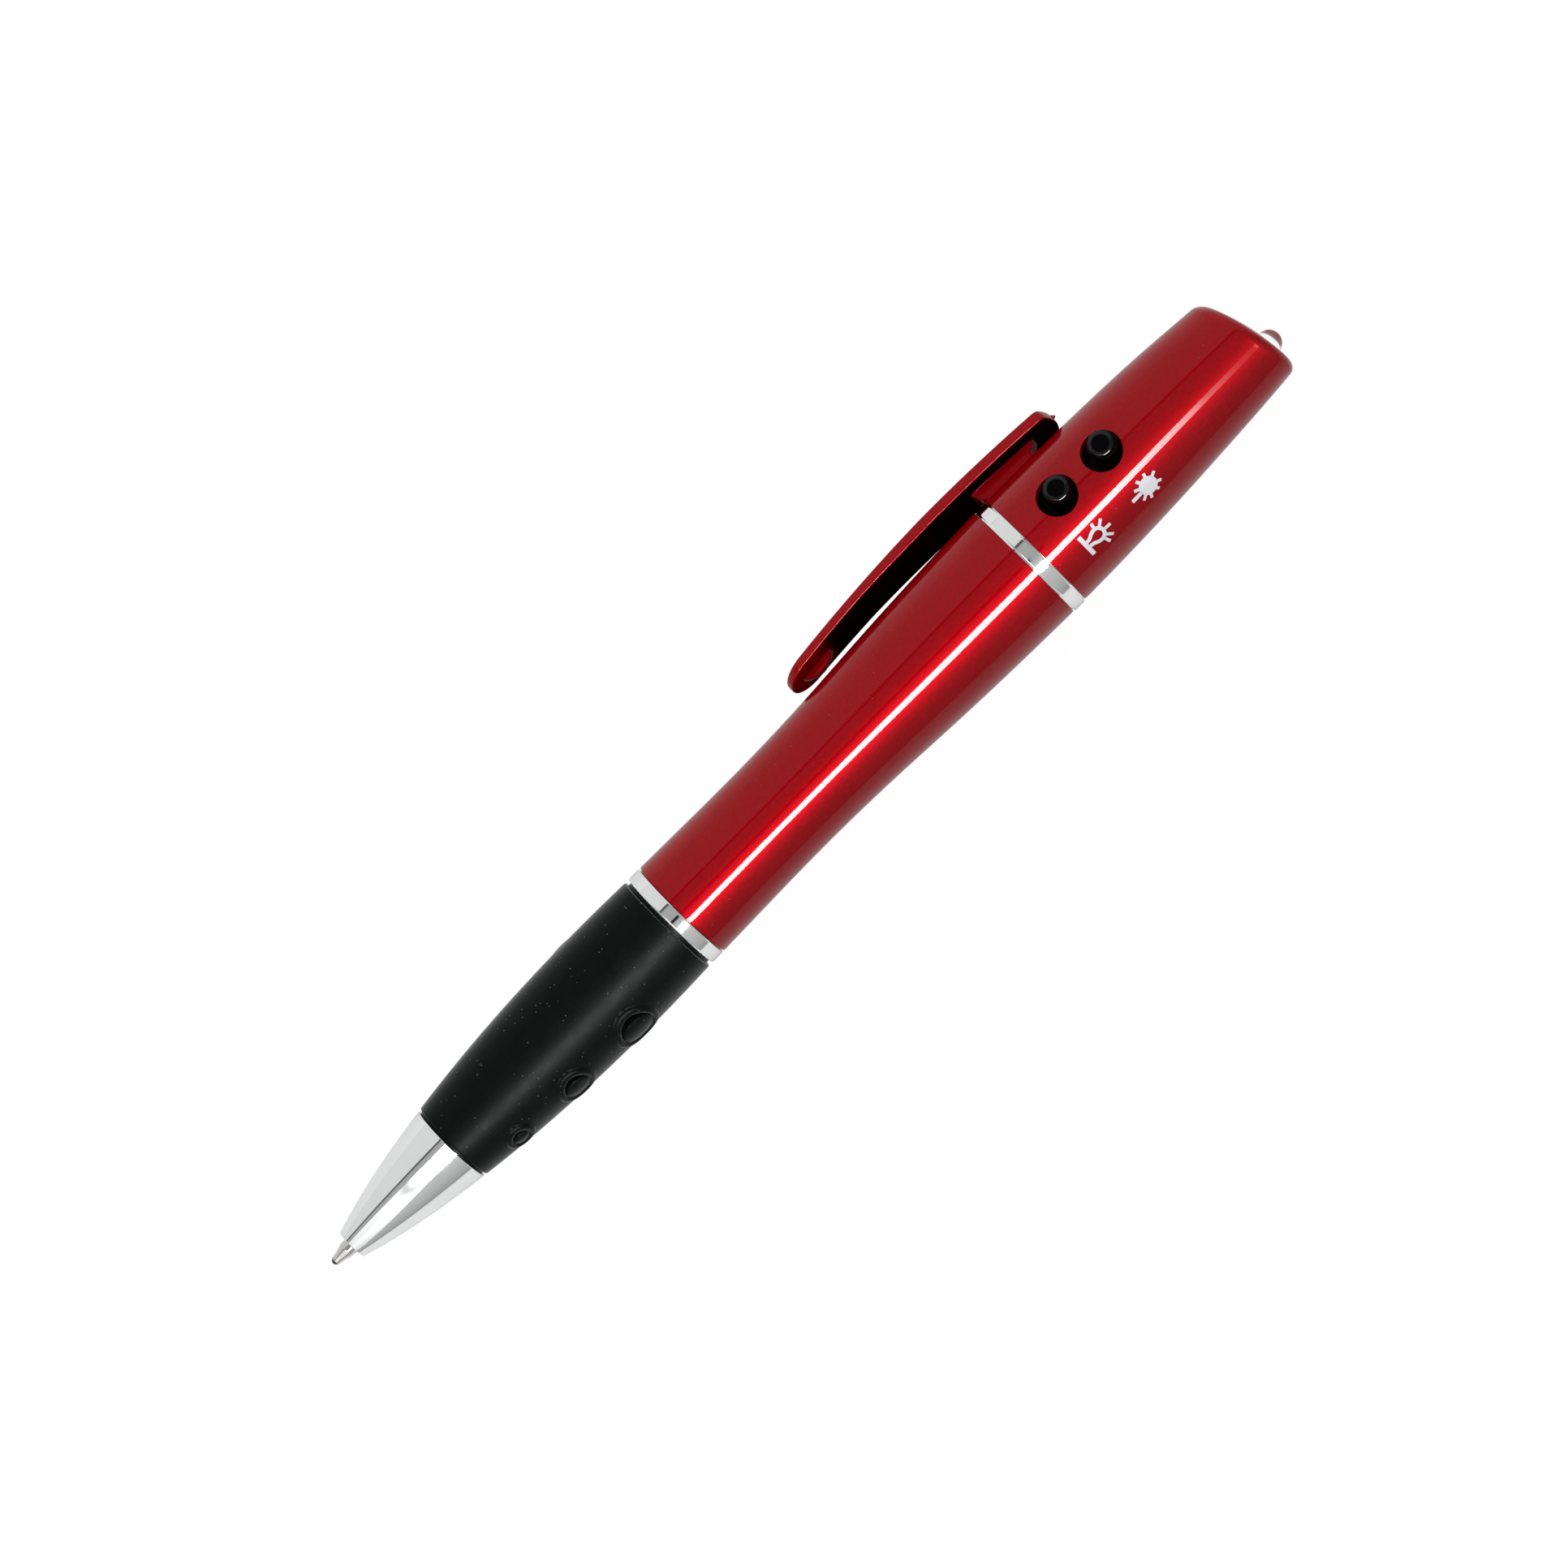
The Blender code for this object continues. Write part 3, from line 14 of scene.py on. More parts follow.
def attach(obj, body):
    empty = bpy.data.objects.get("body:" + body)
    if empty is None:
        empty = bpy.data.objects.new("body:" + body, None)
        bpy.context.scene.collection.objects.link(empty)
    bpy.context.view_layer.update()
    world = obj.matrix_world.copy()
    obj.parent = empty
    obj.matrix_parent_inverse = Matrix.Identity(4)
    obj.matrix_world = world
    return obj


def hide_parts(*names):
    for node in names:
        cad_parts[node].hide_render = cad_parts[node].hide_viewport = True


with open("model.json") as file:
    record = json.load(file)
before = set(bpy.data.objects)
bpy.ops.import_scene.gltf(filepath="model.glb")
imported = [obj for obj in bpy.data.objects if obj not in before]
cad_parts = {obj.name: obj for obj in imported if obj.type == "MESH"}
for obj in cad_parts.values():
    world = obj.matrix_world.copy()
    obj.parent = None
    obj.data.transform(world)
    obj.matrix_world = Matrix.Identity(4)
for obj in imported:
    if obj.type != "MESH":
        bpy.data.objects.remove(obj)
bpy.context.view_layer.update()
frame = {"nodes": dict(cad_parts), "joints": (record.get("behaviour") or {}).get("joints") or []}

# Refill: a tungsten ball rolled into the lip of a turned nickel silver point.
# The point is pressed into the ink tube, which stays as packed, and slides with the cam follower.
joint_of = {joint["name"]: joint for joint in frame["joints"]}
BALL_TIP = np.array(joint_of["twist"]["pos_m"])
TO_LAMP = np.array(joint_of["twist"]["axis"])
TO_BUTTONS = -np.array(joint_of["light_press"]["axis"])
TO_CLIP = np.cross(TO_BUTTONS, TO_LAMP)
MM, TURN_STEPS, SHARP_EDGE = 0.001, 144, 38


def on_pen(points):
    """Place of pen points in the row frame: the ball's tip plus each of the three axes times its own coordinate."""
    return BALL_TIP + (points @ np.stack([TO_CLIP, TO_BUTTONS, TO_LAMP])) * MM


def cubic(start, end, count):
    """Radius along the axis as a cubic that meets both ends' radius and slope; ends are (height, radius, slope)."""
    (z0, r0, s0), (z1, r1, s1) = start, end
    t = np.linspace(0, 1, count)
    bend = (z1 - z0) * (s0 * t * (1 - t) ** 2 + s1 * t ** 2 * (t - 1))
    radius = r0 * (1 + 2 * t) * (1 - t) ** 2 + r1 * t ** 2 * (3 - 2 * t) + bend
    return np.stack([radius, z0 + (z1 - z0) * t], axis=-1)


def eased(corners, ease, count=6):
    """Closed outline with every corner cut short by its ease and bridged by a parabola that touches both sides."""
    corners, ease = np.array(corners, float), np.broadcast_to(ease, len(corners))[:, None]
    before, after = np.roll(corners, 1, 0) - corners, np.roll(corners, -1, 0) - corners
    start = corners + before / np.linalg.norm(before, axis=1, keepdims=True) * ease
    end = corners + after / np.linalg.norm(after, axis=1, keepdims=True) * ease
    t = np.linspace(0, 1, count)[None, :, None]
    bridge = start[:, None] * (1 - t) ** 2 + corners[:, None] * 2 * t * (1 - t) + end[:, None] * t ** 2
    return bridge.reshape(-1, 2)


def turned(outline, steps=TURN_STEPS):
    """Surface of revolution: every (radius, height) of the outline goes once round the pen's axis."""
    angle = np.linspace(0, 2 * math.pi, steps, endpoint=False)
    radius, height = np.asarray(outline).T[..., None]
    return np.stack([radius * np.cos(angle), radius * np.sin(angle), height + 0 * angle], axis=-1)


def grid_mesh(name, points, loop=False, caps=False):
    """Mesh over a grid: neighbours in row and column make a face, rows close to rings, columns to loops if asked,
    and caps close the first and last ring."""
    rows, columns = points.shape[:2]
    index = np.arange(rows * columns).reshape(rows, columns)
    lids = [index[0].tolist(), index[-1].tolist()] if caps else []
    index = np.concatenate([index, index[:, :1]], 1)
    index = np.concatenate([index, index[:1]], 0) if loop else index
    faces = np.stack([index[:-1, :-1], index[:-1, 1:], index[1:, 1:], index[1:, :-1]], -1).reshape(-1, 4)
    mesh = bpy.data.meshes.new(name)
    mesh.from_pydata(on_pen(points.reshape(-1, 3)).tolist(), [], faces.tolist() + lids)
    return mesh


def smoothed(mesh):
    """Shades a mesh smooth and keeps edges over the sharp angle crisp."""
    mesh.shade_smooth()
    mesh.set_sharp_from_angle(angle=math.radians(SHARP_EDGE))
    return mesh


def closed(mesh, same=2e-7, thin=1e-8):
    """Merges points that are the same, drops thin faces, turns faces outwards and shades the mesh smooth."""
    work = bmesh.new()
    work.from_mesh(mesh)
    bmesh.ops.remove_doubles(work, verts=work.verts, dist=same)
    bmesh.ops.dissolve_degenerate(work, edges=work.edges, dist=thin)
    bmesh.ops.recalc_face_normals(work, faces=work.faces)
    work.to_mesh(mesh)
    work.free()
    return smoothed(mesh)


def piece(mesh, body, finish, slot, *nodes):
    """Adds the object of a finished mesh, which rides on a body, stands for CAD nodes and has a finish."""
    obj = bpy.data.objects.new(mesh.name, mesh)
    bpy.context.scene.collection.objects.link(obj)
    mesh.materials.clear()
    mesh.materials.append(finish)
    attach(obj, body)
    if nodes:
        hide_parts(*nodes)


def new_finish(name, **constants):
    """Material with a Principled shader; each constant is set on the shader's socket of that name."""
    finish = bpy.data.materials.new(name)
    finish.use_nodes = True
    shader = finish.node_tree.nodes["Principled BSDF"]
    for socket, value in constants.items():
        shader.inputs[socket.replace("_", " ")].default_value = value
    return finish, finish.node_tree, shader


def group_of(name, inputs, outputs):
    """Empty shader node group with the named inputs (name, kind, value) and outputs (name, kind)."""
    group = bpy.data.node_groups.new(name, "ShaderNodeTree")
    for label, kind, value in inputs:
        group.interface.new_socket(label, in_out="INPUT", socket_type=kind).default_value = value
    for label, kind in outputs:
        group.interface.new_socket(label, in_out="OUTPUT", socket_type=kind)
    return group, group.nodes.new("NodeGroupInput"), group.nodes.new("NodeGroupOutput")


def node(tree, kind, links=(), **settings):
    """Adds a node, sets its properties or sockets by name, and links (output, input name) pairs into it."""
    made = tree.nodes.new(kind)
    for label, value in settings.items():
        if hasattr(made, label):
            setattr(made, label, value)
        else:
            made.inputs[label.replace("_", " ")].default_value = value
    for source, label in links:
        tree.links.new(source, made.inputs[label])
    return made


MIX_FIRST, MIX_SECOND, MIX_RESULT = 6, 7, 2


def feed(tree, socket, value):
    """Sets a number or a colour on a socket, or links another node's output to it."""
    if isinstance(value, bpy.types.NodeSocket):
        tree.links.new(value, socket)
    else:
        socket.default_value = value


def colour_mix(tree, factor, first, second):
    """Colour that goes from the first to the second by the factor; each may be fixed or linked."""
    made = node(tree, "ShaderNodeMix", [(factor, "Factor")], data_type="RGBA")
    feed(tree, made.inputs[MIX_FIRST], first)
    feed(tree, made.inputs[MIX_SECOND], second)
    return made.outputs[MIX_RESULT]


# Uneven tone: noise on the piece's own coordinates, as a colour between two and a roughness between two.
uneven, given, gives = group_of(
    "uneven_tone",
    [("Scale", "NodeSocketFloat", 300.0), ("Dark", "NodeSocketColor", (0, 0, 0, 1)),
     ("Light", "NodeSocketColor", (1, 1, 1, 1)), ("Rough From", "NodeSocketFloat", 0.2),
     ("Rough To", "NodeSocketFloat", 0.3)],
    [("Color", "NodeSocketColor"), ("Roughness", "NodeSocketFloat")])
place = node(uneven, "ShaderNodeTexCoord")
cloud = node(uneven, "ShaderNodeTexNoise", [(place.outputs["Object"], "Vector"), (given.outputs["Scale"], "Scale")],
             Detail=5.0, Roughness=0.62)
spread = node(uneven, "ShaderNodeMapRange", [(cloud.outputs["Fac"], "Value")], From_Min=0.3, From_Max=0.7)
tint = colour_mix(uneven, spread.outputs["Result"], given.outputs["Dark"], given.outputs["Light"])
rough = node(uneven, "ShaderNodeMapRange",
             [(spread.outputs["Result"], "Value"), (given.outputs["Rough From"], "To Min"),
              (given.outputs["Rough To"], "To Max")])
uneven.links.new(tint, gives.inputs["Color"])
uneven.links.new(rough.outputs["Result"], gives.inputs["Roughness"])


def toned(tree, shader, scale, dark, light, rough_from, rough_to):
    """Puts the uneven tone on a shader: colour from dark to light and roughness between its two ends."""
    made = node(tree, "ShaderNodeGroup", node_tree=uneven)
    for label, value in (("Scale", scale), ("Dark", (*dark, 1)), ("Light", (*light, 1)),
                         ("Rough From", rough_from), ("Rough To", rough_to)):
        made.inputs[label].default_value = value
    tree.links.new(made.outputs["Color"], shader.inputs["Base Color"])
    tree.links.new(made.outputs["Roughness"], shader.inputs["Roughness"])
    return made


def grained(tree, shader, scale, height, strength):
    """Fine noise on the piece's coordinates as the height of a bump on the shader's normal."""
    where = node(tree, "ShaderNodeTexCoord")
    fine = node(tree, "ShaderNodeTexNoise", [(where.outputs["Object"], "Vector")], Scale=scale, Detail=3.0)
    bump = node(tree, "ShaderNodeBump", [(fine.outputs["Fac"], "Height")], Strength=strength, Distance=height)
    tree.links.new(bump.outputs["Normal"], shader.inputs["Normal"])


nickel, tree, shader = new_finish("nickel_silver", Metallic=1.0)
toned(tree, shader, 900, (0.66, 0.645, 0.61), (0.78, 0.765, 0.73), 0.07, 0.13)
carbide, tree, shader = new_finish("tungsten_carbide", Metallic=1.0)
toned(tree, shader, 1800, (0.08, 0.08, 0.085), (0.15, 0.15, 0.155), 0.10, 0.18)

BALL_RADIUS = 0.50
ball_angle = np.linspace(-math.pi / 2, math.pi / 2, 33)
ball = np.stack([BALL_RADIUS * np.cos(ball_angle), BALL_RADIUS + BALL_RADIUS * np.sin(ball_angle)], -1)
piece(closed(grid_mesh("writing_ball", turned(ball, 48))), "refill", carbide, "steel", "refill_ball")

point = eased([(0.485, 0.36), (0.53, 0.38), (0.65, 1.10), (0.95, 2.15), (0.97, 16.2), (2.05, 16.2), (2.05, 17.0),
               (0.35, 17.0), (0.35, 0.75)], [0.02, 0.03, 0.20, 0.08, 0.05, 0.08, 0.08, 0.05, 0.1])
piece(closed(grid_mesh("refill_point_turned", turned(point, 64), loop=True)), "refill", nickel, "nickel",
      "refill_point")


def keep_nodes(finish, *names):
    """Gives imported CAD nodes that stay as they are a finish."""
    for name in names:
        materials = frame["nodes"][name].data.materials
        materials.clear()
        materials.append(finish)


ink, tree, shader = new_finish("ink_in_tube", IOR=1.5)
toned(tree, shader, 160, (0.010, 0.012, 0.035), (0.045, 0.050, 0.085), 0.25, 0.4)
keep_nodes(ink, "ink_tube")

natural, tree, shader = new_finish("natural_moulding", IOR=1.49, Subsurface_Weight=0.15, Subsurface_Scale=0.0004)
toned(tree, shader, 420, (0.60, 0.57, 0.49), (0.74, 0.71, 0.63), 0.38, 0.52)
grained(tree, shader, 2500, 3e-5, 0.2)
keep_nodes(natural, "cam_follower")

# Nose cone: drawn brass, polished and chrome plated, screwed on the grip's core.
# Its mouth is rolled in round the refill's point, and its rear edge butts on the grip.
chrome, tree, shader = new_finish("chrome_plate", Metallic=1.0)
toned(tree, shader, 260, (0.90, 0.91, 0.915), (0.95, 0.955, 0.96), 0.04, 0.075)

NOSE_FRONT, NOSE_REAR = (2.95, 1.83, 0.31), (18.69, 5.055, 0.13)
nose_outside = cubic(NOSE_FRONT, NOSE_REAR, 90)[2:-1]
nose_mouth = np.array([(1.10, 3.25), (1.13, 3.06), (1.22, 2.97), (1.40, 2.95), (1.76, 2.95), (1.815, 2.965),
                       (1.845, 3.00), (1.868, 3.07)])
nose_inside = eased([(4.95, NOSE_REAR[0]), (3.60, NOSE_REAR[0]), (3.60, 14.30), (2.30, 14.30), (2.30, 8.05),
                     (1.10, 8.05)], [0.03, 0.1, 0.1, 0.1, 0.1, 0.1])[:-3]
nose = np.concatenate([nose_mouth, nose_outside, [(5.05, 18.64), (5.02, 18.68)], nose_inside])
piece(closed(grid_mesh("nose_cone_plated", turned(nose), loop=True)), "front", chrome, "chrome", "nose_cone")

spring_steel, tree, shader = new_finish("spring_wire", Metallic=1.0)
toned(tree, shader, 700, (0.42, 0.42, 0.43), (0.58, 0.58, 0.59), 0.22, 0.36)
keep_nodes(spring_steel, "return_spring")

# Grip: a soft rubber sleeve moulded over the core, matt, with dust on it.
# Three domed finger pads on each of two sides stand in raised egg-shaped rings, each with a deep slot beside it.
# A narrower lip at each end closes the gap to the nose and to the ring.
GRIP_FRONT, GRIP_SWELL, GRIP_REAR = (19.05, 5.13, 0.13), (44.20, 6.66, 0.0), (52.66, 6.51, -0.035)
PAD_HEIGHTS, PAD_RINGS = (24.9, 33.3, 42.5), (1.40, 2.00, 2.46)
PAD_TURNS, PAD_BEADS, PAD_SIDES = (169.0, 345.0), (0.30, 0.16), (-1, 1)
RING_EGG, PAD_EGG, BEAD_HALF, RING_INSET, PAD_INSET = 0.87, 1.31, 0.43, 0.34, 0.40
SLOT_DEPTH, SLOT_WALL, END_DROP, END_EASE, CROWDING = 1.30, 0.16, 0.09, 0.10, 0.34
LIP_REAR, LIP_FRONT, LIP_REAR_LENGTH, LIP_FRONT_LENGTH, GRIP_BORE = 6.05, 4.72, 0.50, 0.30, 4.40
FRONT_ROWS = 0.74


def grip_surface(rows, steps):
    """Sleeve: two cubics of radius, plus for each pad an egg-shaped bead, a low dome inside it and, between the
    bead's inner edge and the dome's flatter arc, a slot with steep walls. Columns stand closer at the pads than
    between them. Both ends go on as narrower lips, and a bore closes the wall."""
    split = int(rows * FRONT_ROWS)
    line = np.concatenate([cubic(GRIP_FRONT, GRIP_SWELL, split), cubic(GRIP_SWELL, GRIP_REAR, rows - split)[1:]])
    angle = np.linspace(0, 2 * math.pi, steps, endpoint=False)
    angle = angle - CROWDING * np.sin(2 * (angle - math.radians(PAD_TURNS[0])))
    radius = line[:, :1] + 0 * angle
    height = line[:, 1:] + 0 * angle
    rise = np.zeros_like(radius)
    for pad_height, pad_ring in zip(PAD_HEIGHTS, PAD_RINGS):
        for turn, pad_bead, side in zip(PAD_TURNS, PAD_BEADS, PAD_SIDES):
            around = (angle - math.radians(turn) + math.pi) % (2 * math.pi) - math.pi
            along, up = height - pad_height, radius * np.sin(around) * side
            near = np.abs(around) < math.pi / 2
            away = np.where(near, np.hypot(along, up * np.where(up > 0, RING_EGG, 1.0)), 99.0)
            from_middle = np.where(near, np.hypot(along, up * np.where(up > 0, PAD_EGG, 1.0)), 99.0)
            pad_edge = from_middle - (pad_ring - PAD_INSET)
            dome = np.clip(1 - (from_middle / (pad_ring - RING_INSET)) ** 2, 0, 1)
            into_slot = np.clip(np.minimum(pad_ring - RING_INSET - away, pad_edge) / SLOT_WALL, 0, 1)
            bead = np.clip(1 - ((away - pad_ring) / BEAD_HALF) ** 2, 0, 1)
            rise += pad_bead * (bead ** 0.7 + dome ** 0.5)
            rise -= SLOT_DEPTH * into_slot ** 2 * (3 - 2 * into_slot)
    front, rear = GRIP_FRONT[0], GRIP_REAR[0]
    ends = np.minimum(height - front, rear - height)
    rise -= END_DROP * np.clip(1 - ends / END_EASE, 0, 1) ** 2
    radius = radius + rise
    outside = np.stack([radius * np.cos(angle), radius * np.sin(angle), height], -1)
    lip_start, lip_end = front - LIP_FRONT_LENGTH, rear + LIP_REAR_LENGTH
    lips = np.array([(LIP_REAR, rear), (LIP_REAR, lip_end), (GRIP_BORE, lip_end), (GRIP_BORE, lip_start),
                     (LIP_FRONT, lip_start), (LIP_FRONT, front)])
    inside = np.stack([lips[:, :1] * np.cos(angle), lips[:, :1] * np.sin(angle), lips[:, 1:] + 0 * angle], -1)
    return np.concatenate([outside, inside])


rubber, tree, shader = new_finish("grip_rubber", IOR=1.5, Specular_IOR_Level=0.047, Sheen_Weight=0.48,
                                  Sheen_Roughness=0.35)
tone = toned(tree, shader, 520, (0.0010, 0.0034, 0.0028), (0.0020, 0.0048, 0.0042), 0.36, 0.45)
grained(tree, shader, 4200, 4e-5, 0.22)


def maths(tree, operation, *values):
    """Output of a math node; each value is a number or another node's output."""
    made = node(tree, "ShaderNodeMath", operation=operation)
    for place, value in enumerate(values):
        feed(tree, made.inputs[place], value)
    return made.outputs[0]


# Settled dust: round specks at the middle of a cell pattern, kept in the few cells whose random value is high.
dust, given, gives = group_of(
    "settled_dust",
    [("Scale", "NodeSocketFloat", 900.0), ("Size", "NodeSocketFloat", 0.12), ("Cover", "NodeSocketFloat", 0.6)],
    [("Mask", "NodeSocketFloat")])
place = node(dust, "ShaderNodeTexCoord")
cells = node(dust, "ShaderNodeTexVoronoi", [(place.outputs["Object"], "Vector"), (given.outputs["Scale"], "Scale")])
speck = maths(dust, "LESS_THAN", cells.outputs["Distance"], given.outputs["Size"])
drift = node(dust, "ShaderNodeSeparateColor", [(cells.outputs["Color"], "Color")])
let = maths(dust, "GREATER_THAN", drift.outputs["Red"], given.outputs["Cover"])
dust.links.new(maths(dust, "MULTIPLY", speck, let), gives.inputs["Mask"])


def dusted(tree, shader, tone, scale, size, cover, colour):
    """Lays dust on a finish: where the dust mask is one, its colour takes the place of the finish's own."""
    lay = node(tree, "ShaderNodeGroup", node_tree=dust)
    for label, value in (("Scale", scale), ("Size", size), ("Cover", cover)):
        lay.inputs[label].default_value = value
    over = colour_mix(tree, lay.outputs["Mask"], tone.outputs["Color"], (*colour, 1))
    tree.links.new(over, shader.inputs["Base Color"])
    return over


dusted(tree, shader, tone, 2000, 0.13, 0.78, (0.15, 0.155, 0.16))
piece(closed(grid_mesh("grip_sleeve_moulded", grip_surface(330, 288), loop=True)), "front", rubber, "black_rubber",
      "grip_sleeve")

black, tree, shader = new_finish("black_moulding", IOR=1.49, Specular_IOR_Level=0.2)
toned(tree, shader, 600, (0.0016, 0.0016, 0.0018), (0.0034, 0.0034, 0.0037), 0.17, 0.25)
grained(tree, shader, 3600, 2e-5, 0.15)
keep_nodes(black, "grip_core", "guide_tube")

# Lower ring: a turned and chromed brass ring between grip and barrel.
# It is clamped on the barrel's tenon and its face is slightly crowned.
RING_CROWN, RING_EDGE, RING_EDGE_DROP = 0.006, 0.18, 0.10


def ring_outline(start, end, radius, bores):
    """Ring section: a parabola of crown across the face, parabola-eased edges, and a stepped bore behind."""
    t = np.linspace(-1, 1, 17)
    eased_edge = np.clip((np.abs(t) - 1 + RING_EDGE) / RING_EDGE, 0, 1) ** 2
    face = np.stack([radius + RING_CROWN * (1 - t ** 2) - RING_EDGE_DROP * eased_edge,
                     (start + end) / 2 + t * (end - start) / 2], -1)
    return np.concatenate([face, bores])


LOWER_START, LOWER_END, TENON_START, TENON_BORE = 53.23, 54.83, 53.75, 5.00
lower_ring = ring_outline(LOWER_START, LOWER_END, 6.51, [(5.85, LOWER_END), (5.85, TENON_START),
                                                         (TENON_BORE, TENON_START), (TENON_BORE, LOWER_START)])
piece(closed(grid_mesh("lower_ring_plated", turned(lower_ring), loop=True)), "barrel", chrome, "chrome", "lower_ring")

# Barrel: a drawn brass tube, waisted, sprayed with red metal flake and a clear lacquer over it.
# Its rear end is threaded inside for the head's coupling.
BARREL_FRONT, BARREL_WAIST = (55.03, 6.50, -0.012), (69.75, 6.30, 0.0)
BARREL_FLARE, BARREL_REAR = (86.05, 6.83, 0.066), (108.65, 7.69, 0.018)
BARREL_PASSES, PAINTED_SHADE_FROM, MM_PER_TURN = 160, 0.3, 1.0


def lacquered(name, shade_and_dull=None):
    """Metal flake under a clear coat; an attribute share, if named, takes coat and metal away up to a threshold
    share,
    and from there to one paints shade: the colour goes over to near black."""
    finish, tree, shader = new_finish(name, Metallic=0.245, Specular_IOR_Level=0.0, Coat_Weight=1.0,
                                      Coat_Roughness=0.02, Coat_IOR=1.30)
    tone = toned(tree, shader, 2600, (0.262, 0.0005, 0.0030), (0.332, 0.0008, 0.0045), 0.37, 0.45)
    colour = dusted(tree, shader, tone, 1500, 0.06, 0.85, (0.55, 0.12, 0.12))
    where = node(tree, "ShaderNodeTexCoord")
    flake = node(tree, "ShaderNodeTexVoronoi", [(where.outputs["Object"], "Vector")], Scale=9000.0)
    flakes = node(tree, "ShaderNodeBump", [(flake.outputs["Distance"], "Height")], Strength=0.10, Distance=2e-5)
    tree.links.new(flakes.outputs["Normal"], shader.inputs["Normal"])
    peel = node(tree, "ShaderNodeTexNoise", [(where.outputs["Object"], "Vector")], Scale=700.0, Detail=2.0)
    skin = node(tree, "ShaderNodeBump", [(peel.outputs["Fac"], "Height")], Strength=0.02, Distance=2e-5)
    tree.links.new(skin.outputs["Normal"], shader.inputs["Coat Normal"])
    if shade_and_dull:
        share = node(tree, "ShaderNodeAttribute", attribute_name=shade_and_dull)
        painted_shade = node(tree, "ShaderNodeMapRange", [(share.outputs["Fac"], "Value")], From_Min=PAINTED_SHADE_FROM)
        # Painted shade: past the threshold share the colour is mixed towards near black.
        show = colour_mix(tree, painted_shade.outputs["Result"], colour, (0.010, 0.0022, 0.0018, 1))
        tree.links.new(show, shader.inputs["Base Color"])
        for socket in ("Metallic", "Coat Weight"):
            left = node(tree, "ShaderNodeMapRange", [(share.outputs["Fac"], "Value")], From_Max=PAINTED_SHADE_FROM,
                        To_Min=shader.inputs[socket].default_value, To_Max=0.0)
            tree.links.new(left.outputs["Result"], shader.inputs[socket])
    return finish


def averaged(line, passes):
    """Line whose inner points each go to half themselves and a quarter of both neighbours, in a number of passes."""
    for _ in range(passes):
        line[1:-1] = (line[:-2] + 2 * line[1:-1] + line[2:]) / 4
    return line


lacquer = lacquered("red_lacquer")
barrel_outside = np.concatenate([cubic(BARREL_FRONT, BARREL_WAIST, 50)[1:], cubic(BARREL_WAIST, BARREL_FLARE, 50)[1:],
                                 cubic(BARREL_FLARE, BARREL_REAR, 60)[1:-1]])
barrel_outside = averaged(barrel_outside, BARREL_PASSES)
barrel_ends = np.array([(7.67, 108.60), (7.63, 108.64), (7.55, 108.65), (6.78, 108.65), (6.70, 108.57)])
thread_line = np.linspace(108.4, 103.6, 97)
thread = np.stack([6.66 + 0.05 * np.cos(2 * math.pi * thread_line / MM_PER_TURN), thread_line], -1)
barrel_inside = np.array([(6.70, 103.35), (6.32, 103.35), (6.32, 85.60), (TENON_BORE, 85.60),
                          (TENON_BORE, TENON_START), (5.75, TENON_START), (5.75, 54.86), (6.15, 54.86),
                          (6.15, BARREL_FRONT[0]), (6.42, BARREL_FRONT[0]), (6.47, 55.05)])
barrel = np.concatenate([barrel_outside, barrel_ends, thread, barrel_inside])
piece(closed(grid_mesh("barrel_lacquered", turned(barrel), loop=True)), "barrel", lacquer, "red_lacquer",
      "barrel_shell")

brass, tree, shader = new_finish("turned_brass", Metallic=1.0)
toned(tree, shader, 800, (0.58, 0.40, 0.17), (0.74, 0.53, 0.25), 0.16, 0.30)
grained(tree, shader, 5000, 2e-5, 0.2)

# Twist parts and battery: the cam tube, stop, contact springs and three button cells inside the barrel.
# They stay as packed and show only when the pen is taken apart.
cell_can, tree, shader = new_finish("button_cell_can", Metallic=1.0)
toned(tree, shader, 500, (0.50, 0.50, 0.49), (0.66, 0.66, 0.65), 0.14, 0.26)
keep_nodes(natural, "cam_tube", "battery_stop")
keep_nodes(cell_can, "button_cell_1", "button_cell_2", "button_cell_3")
keep_nodes(spring_steel, "lower_contact", "upper_contact")
keep_nodes(brass, "return_strip", "contact_disc")

# Upper ring and coupling: a chromed ring turned round the head's brass coupling sleeve.
# The sleeve's rolled thread shows when the head is unscrewed to change the cells.
UPPER_START, UPPER_END, UPPER_BORE = 108.82, 110.34, 6.70
RING_LIP, RING_LIP_START, RING_LIP_END = 7.48, 108.68, 110.45
upper_ring = ring_outline(UPPER_START, UPPER_END, 7.76,
                          [(RING_LIP, UPPER_END), (RING_LIP, RING_LIP_END), (UPPER_BORE, RING_LIP_END),
                           (UPPER_BORE, RING_LIP_START), (RING_LIP, RING_LIP_START), (RING_LIP, UPPER_START)])
piece(closed(grid_mesh("upper_ring_plated", turned(upper_ring), loop=True)), "ring", chrome, "chrome", "upper_ring")

SLEEVE_FRONT, SLEEVE_REAR, SLEEVE_RADIUS, SLEEVE_BORE = 103.45, 113.60, 6.60, 5.95
THREAD_START, THREAD_END, THREAD_FADE, THREAD_DEPTH = 103.6, 109.2, 0.6, 0.16


